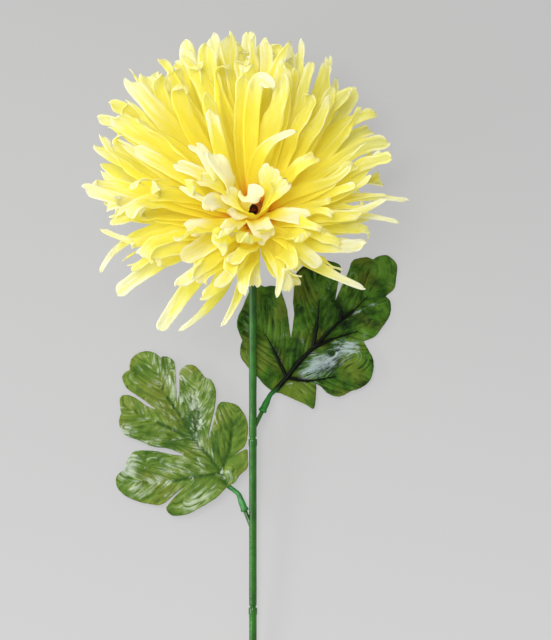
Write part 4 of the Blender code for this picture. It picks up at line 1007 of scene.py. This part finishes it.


# Upper leaf: the same coated cloth in a darker green, pressed on to ribs that lie on its face. Blue-grey
# streaks of painted reflection lie on the lobe next to the stalk.
UPPER_LEAF = SimpleNamespace(
    base=Vector((14.5, -1.0, 5.6)), fall=4.6, wave_phase=2.1, frame_side=1.0, seed=8,
    lobes=(
        ((0, 0), (-4, 3), (-8, 7.5), (-12, 11.5), (-15.5, 16.5), (-16, 21)),
        ((-15, 24.5), (-16.5, 28), (-17.5, 31.5), (-17, 36), (-15, 40), (-13, 45), (-11, 49), (-7.5, 51)),
        ((-4.5, 50), (-1.5, 50.5), (2.5, 49.5), (4, 46), (6, 40), (7, 33)),
        ((8, 25.5), (9.5, 36), (9, 43.5), (10, 52.5), (11, 57), (16, 61), (24, 62.5), (31, 60.5),
         (31.5, 56.5), (30, 49.5)),
        ((29, 43), (32.5, 51.5), (35, 56.5), (37, 62), (40, 63.5), (44, 64)),
        ((47, 63), (49.5, 64.5), (53.5, 65), (56.5, 63), (58.5, 60), (58, 54), (57, 49)),
        ((53, 45.5), (55, 43.5), (55.5, 39.5), (54.5, 35.5), (51.5, 31), (48, 26.5)),
        ((42.5, 24), (45, 19.5), (47, 15.5), (47, 10), (45, 5), (41, 2), (36.5, 0.5), (32.5, -1.5),
         (29.5, -2), (25.5, -0.5), (22.5, 2.5)),
        ((20, 4), (20, 1), (19, -7.5), (15.5, -6), (11, -4), (6.5, -2), (3, -0.5)),
    ), ribs=(
        ((1, 1.5), (6, 7), (11, 13.5), (18.5, 21), (24, 26.5), (31.5, 34), (37.5, 38.5), (44.5, 45.5)),
        ((18.5, 21), (20.5, 33), (21.5, 43.5)),
        ((18.5, 21), (27, 25), (40, 29)),
        ((6, 7), (16, 5.5), (29.5, 7.5)),
        ((6, 7), (0.5, 19), (-4.5, 28)),
        ((31.5, 34), (32, 38), (31.5, 41.5)),
    ), milk=(
        ((24, 14.5), 15, 5.5, 62, 1.6), ((33, 20), 9, 4.5, 75, 1.5), ((13.3, 24.3), 4, 1.2, 160, 0.7),
        ((2.4, 15.7), 6.5, 1.3, 155, 1), ((-13.3, 30.9), 8, 2.2, 0, 0.6), ((25.6, 49), 7, 1.3, 5, 0.5),
        ((40.5, 38.5), 7, 1, 60, 1), ((36.1, 47.1), 6, 1, 5, 0.5), ((20, 37), 6, 1.4, 165, 0.4),
    ))
dark_leaf_cloth = coated_cloth(
    "coated leaf cloth, dark", ("#061803", "#305510", "#476E1B", "#587B24"), brown="#5E6E1E",
    sheen_colour="#A2B2B4", sheen_start=0.40, rib_shade=(0.5, 1.7), gloss=0.10)
# The same coated polyester in darker greens, with blue-grey streaks of painted reflection
upper_leaf = leaf_sheet("upper_leaf_cloth", UPPER_LEAF, dark_leaf_cloth)
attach(upper_leaf, "root")
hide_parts("leaf_upper")


# Lower leaf's stalk: light green polyethylene, moulded in one as a sleeve that grips the stem's peg and
# a frame of ribs, which the leaf is welded on to. The frame is under this leaf.
MIDRIB_RADIUS = 1.1 * MM
SIDE_RIB_RADIUS = 0.75 * MM
RIB_TIP_RADIUS = 0.22 * MM
LEAF_SOLID = 0.6 * MM
STALK_STRAIGHT = 15.0 * MM
STALK_STEP = 3.8 * MM
SLEEVE_START = 10.0 * MM
SLEEVE_BORE = 1.1
# Place along the sleeve and radius, in mm: out of the bore, over the collar, then down to the stalk
SLEEVE_SHAPE = ((2.5, SLEEVE_BORE), (0.1, SLEEVE_BORE), (0.0, SLEEVE_BORE + 0.1), (0.0, 1.75),
                (0.15, 1.9), (1.0, 1.95), (1.3, 1.85), (1.6, 1.65), (2.6, 1.6), (4.2, 1.62), (5.2, 1.5),
                (6.6, 1.25), (8.2, 1.08), (8.6, 0.6))


def rib_lines(leaf):
    """The ribs' middle lines, clear of the leaf on the side that its frame is on, with their radii."""
    lines = []
    for rib in leaf.ribs:
        thick = MIDRIB_RADIUS if rib is leaf.ribs[0] else SIDE_RIB_RADIUS
        line = []
        for index, ((x, y), height) in enumerate(zip(rib, leaf_heights(leaf, numpy.array(rib)))):
            radius = thick + (RIB_TIP_RADIUS - thick) * index / (len(rib) - 1)
            lift = leaf.frame_side * (0.5 * LEAF_SOLID + GAP + radius)
            point = Vector((leaf.base.x + x, leaf.base.y + y, height)) * MM
            line.append({"point": point + Vector((0.0, 0.0, lift)), "radius": radius})
        lines.append(line)
    return lines


def rib_tree():
    """Node tree that grows a moulded rib on each guide line: round, uneven and closed at its ends."""
    tree, node, given = new_tree("moulded ribs", "Ribs", Geometry=["Lines"], Int=["Sides", "Steps"],
                                 Float=["Unevenness", "Lump size"], Material=["Plastic"])
    curves = node("MeshToCurve", given["Lines"])
    curves = node("CurveSplineType", {"Curve": curves}, spline_type="CATMULL_ROM")
    tubes = node("CurveToMesh", {
        "Curve": node("ResampleCurve", {"Curve": curves, "Count": given["Steps"]}),
        "Profile Curve": node("CurvePrimitiveCircle", {"Resolution": given["Sides"], "Radius": 1.0}),
        "Scale": node("InputNamedAttribute", "radius", data_type="FLOAT"), "Fill Caps": True})
    scale = node("DIVIDE", 1.0, given["Lump size"])
    lump = node("TexNoise", node("InputPosition"), {"Scale": scale, "Detail": 2.0})
    rise = node("MULTIPLY", node("SUBTRACT", lump, 0.5), given["Unevenness"])
    offset = node("VectorMath", node("InputNormal"), {"Scale": rise}, operation="SCALE")
    return end_tree(tree, node("SetPosition", {"Geometry": tubes, "Offset": offset}), given["Plastic"])


def stalk_piece(name, which, leaf, finish):
    """A leaf's stalk: ribs grown on their lines, and the collared sleeve that carries them."""
    lines = rib_lines(leaf)
    start, way = stalk_from(which, lines[0][0]["point"])
    lines[0] = [{"point": start + way * STALK_STRAIGHT, "radius": MIDRIB_RADIUS * 1.2},
                {"point": start + way * (STALK_STRAIGHT + STALK_STEP), "radius": MIDRIB_RADIUS}] + lines[0]
    ribs = grow(name, guide_lines(name + " lines", lines), rib_tree(), {
        "Sides": 16, "Steps": 48, "Unevenness": 0.5 * MM, "Lump size": 2.5 * MM, "Plastic": finish})
    builder = bmesh.new()
    builder.from_mesh(ribs.data)
    sleeve_foot = start + way * SLEEVE_START
    sweep(builder, [(sleeve_foot + way * (far * MM), way, wide * MM) for far, wide in SLEEVE_SHAPE], 24)
    bpy.data.objects.remove(ribs)
    return piece_from(name, builder, finish)


def rib_plastic(name, dark, light, roughness, gloss, blackens=None):
    """Clouded polyethylene, which may be dyed black from one place along the stem on."""
    finish, shader, node = new_finish(name)
    place = node("TexCoord", out="Object")
    clouds = node("TexNoise", place, {"Scale": 1.0 / 0.004, "Detail": 3.0})
    shades = node("ValToRGB", clouds, stops=((0.35, dark), (0.65, light)))
    if blackens:
        dyed = node("MULTIPLY_ADD", clouds, 5.0 * MM, node("SeparateXYZ", place, out="Y"))
        dyed = node("MapRange", dyed, *blackens, **SMOOTH)
        shades = node("Mix", {0: dyed, 6: shades, 7: "#010301"}, **MIX)
    set_inputs(shader, {"Base Color": shades, "Roughness": roughness, "Specular IOR Level": gloss,
                        "Normal": node("Bump", {"Height": clouds, "Strength": 0.4, "Distance": 0.0004})})
    return finish


light_plastic = rib_plastic("light green polyethylene", "#1B5A1F", "#2F7D33", 0.36, 0.4)
# Thin, fresh green polyethylene with a waxy gloss
lower_stalk = stalk_piece("lower_leaf_stalk", "lower", LOWER_LEAF, light_plastic)
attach(lower_stalk, "root")
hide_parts("leaf_stalk_lower")


# Upper leaf's stalk: the same moulding in black-green polyethylene. Its frame lies on the leaf's face,
# where the ribs stand out black.
dark_plastic = rib_plastic("black-dyed polyethylene", "#1B5A1F", "#2C742F", 0.5, 0.12, (-0.001, 0.005))
# Heavily dyed polyethylene that reads as black against the leaf
upper_stalk = stalk_piece("upper_leaf_stalk", "upper", UPPER_LEAF, dark_plastic)
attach(upper_stalk, "root")
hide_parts("leaf_stalk_upper")


# Floor, lights and camera: a plain pale studio floor seen from straight above, under a large soft light
# at the upper left and a low, weaker strip of light at the left.
FLOOR_HALF = 3.0
FLOOR_HEIGHT = -0.2 * MM
VIEW_HEIGHT = 0.304
CAMERA_HEIGHT = 2.0
SENSOR = 36.0
floor_mesh = bpy.data.meshes.new("floor")
floor_mesh.from_pydata([(x * FLOOR_HALF, y * FLOOR_HALF, FLOOR_HEIGHT)
                        for x, y in ((-1, -1), (1, -1), (1, 1), (-1, 1))], [], [(0, 1, 2, 3)])
floor = put("floor", floor_mesh)
paper, shader, node = new_finish("matt grey paper")
# Paper lit from behind as well, a little brighter towards the stem's cut end
towards = node("SeparateXYZ", node("TexCoord", out="Object"), out="Y")
set_inputs(shader, {"Emission Strength": node("MapRange", towards, -0.12, 0.19, 0.94, 0.75),
                    "Base Color": "#5A5A5A", "Emission Color": "#C0C0C0",
                    "Roughness": 1.0, "Specular IOR Level": 0.0})
floor_mesh.materials.append(paper)

world = bpy.data.worlds.new("studio")
bpy.context.scene.world = world
world.use_nodes = True
set_inputs(world.node_tree.nodes["Background"], {"Color": "#FFFFFF", "Strength": 0.5})


def softbox(name, place, aim, width, height, power):
    """A soft light with its place and what it is aimed at."""
    light = bpy.data.lights.new(name, "AREA")
    light.shape = "RECTANGLE"
    light.size = width
    light.size_y = height
    light.energy = power
    lamp = put(name, light)
    lamp.location = place
    lamp.rotation_euler = (Vector(aim) - Vector(place)).to_track_quat("-Z", "Y").to_euler()


softbox("overhead", (-0.6, 0.65, 2.9), (0.0, 0.05, 0.03), 1.2, 1.2, 71.0)
softbox("side", (-1.1, -0.02, 0.50), (0.0, -0.02, 0.0), 1.4, 0.3, 13.0)

lens = bpy.data.cameras.new("camera")
lens.sensor_fit = "AUTO"
lens.sensor_width = SENSOR
lens.lens = SENSOR * CAMERA_HEIGHT / VIEW_HEIGHT
lens.clip_end = 20.0
camera = put("camera", lens)
camera.location = (0.0152, 0.03325, CAMERA_HEIGHT)
bpy.context.scene.camera = camera
bpy.context.scene.view_settings.view_transform = "Standard"
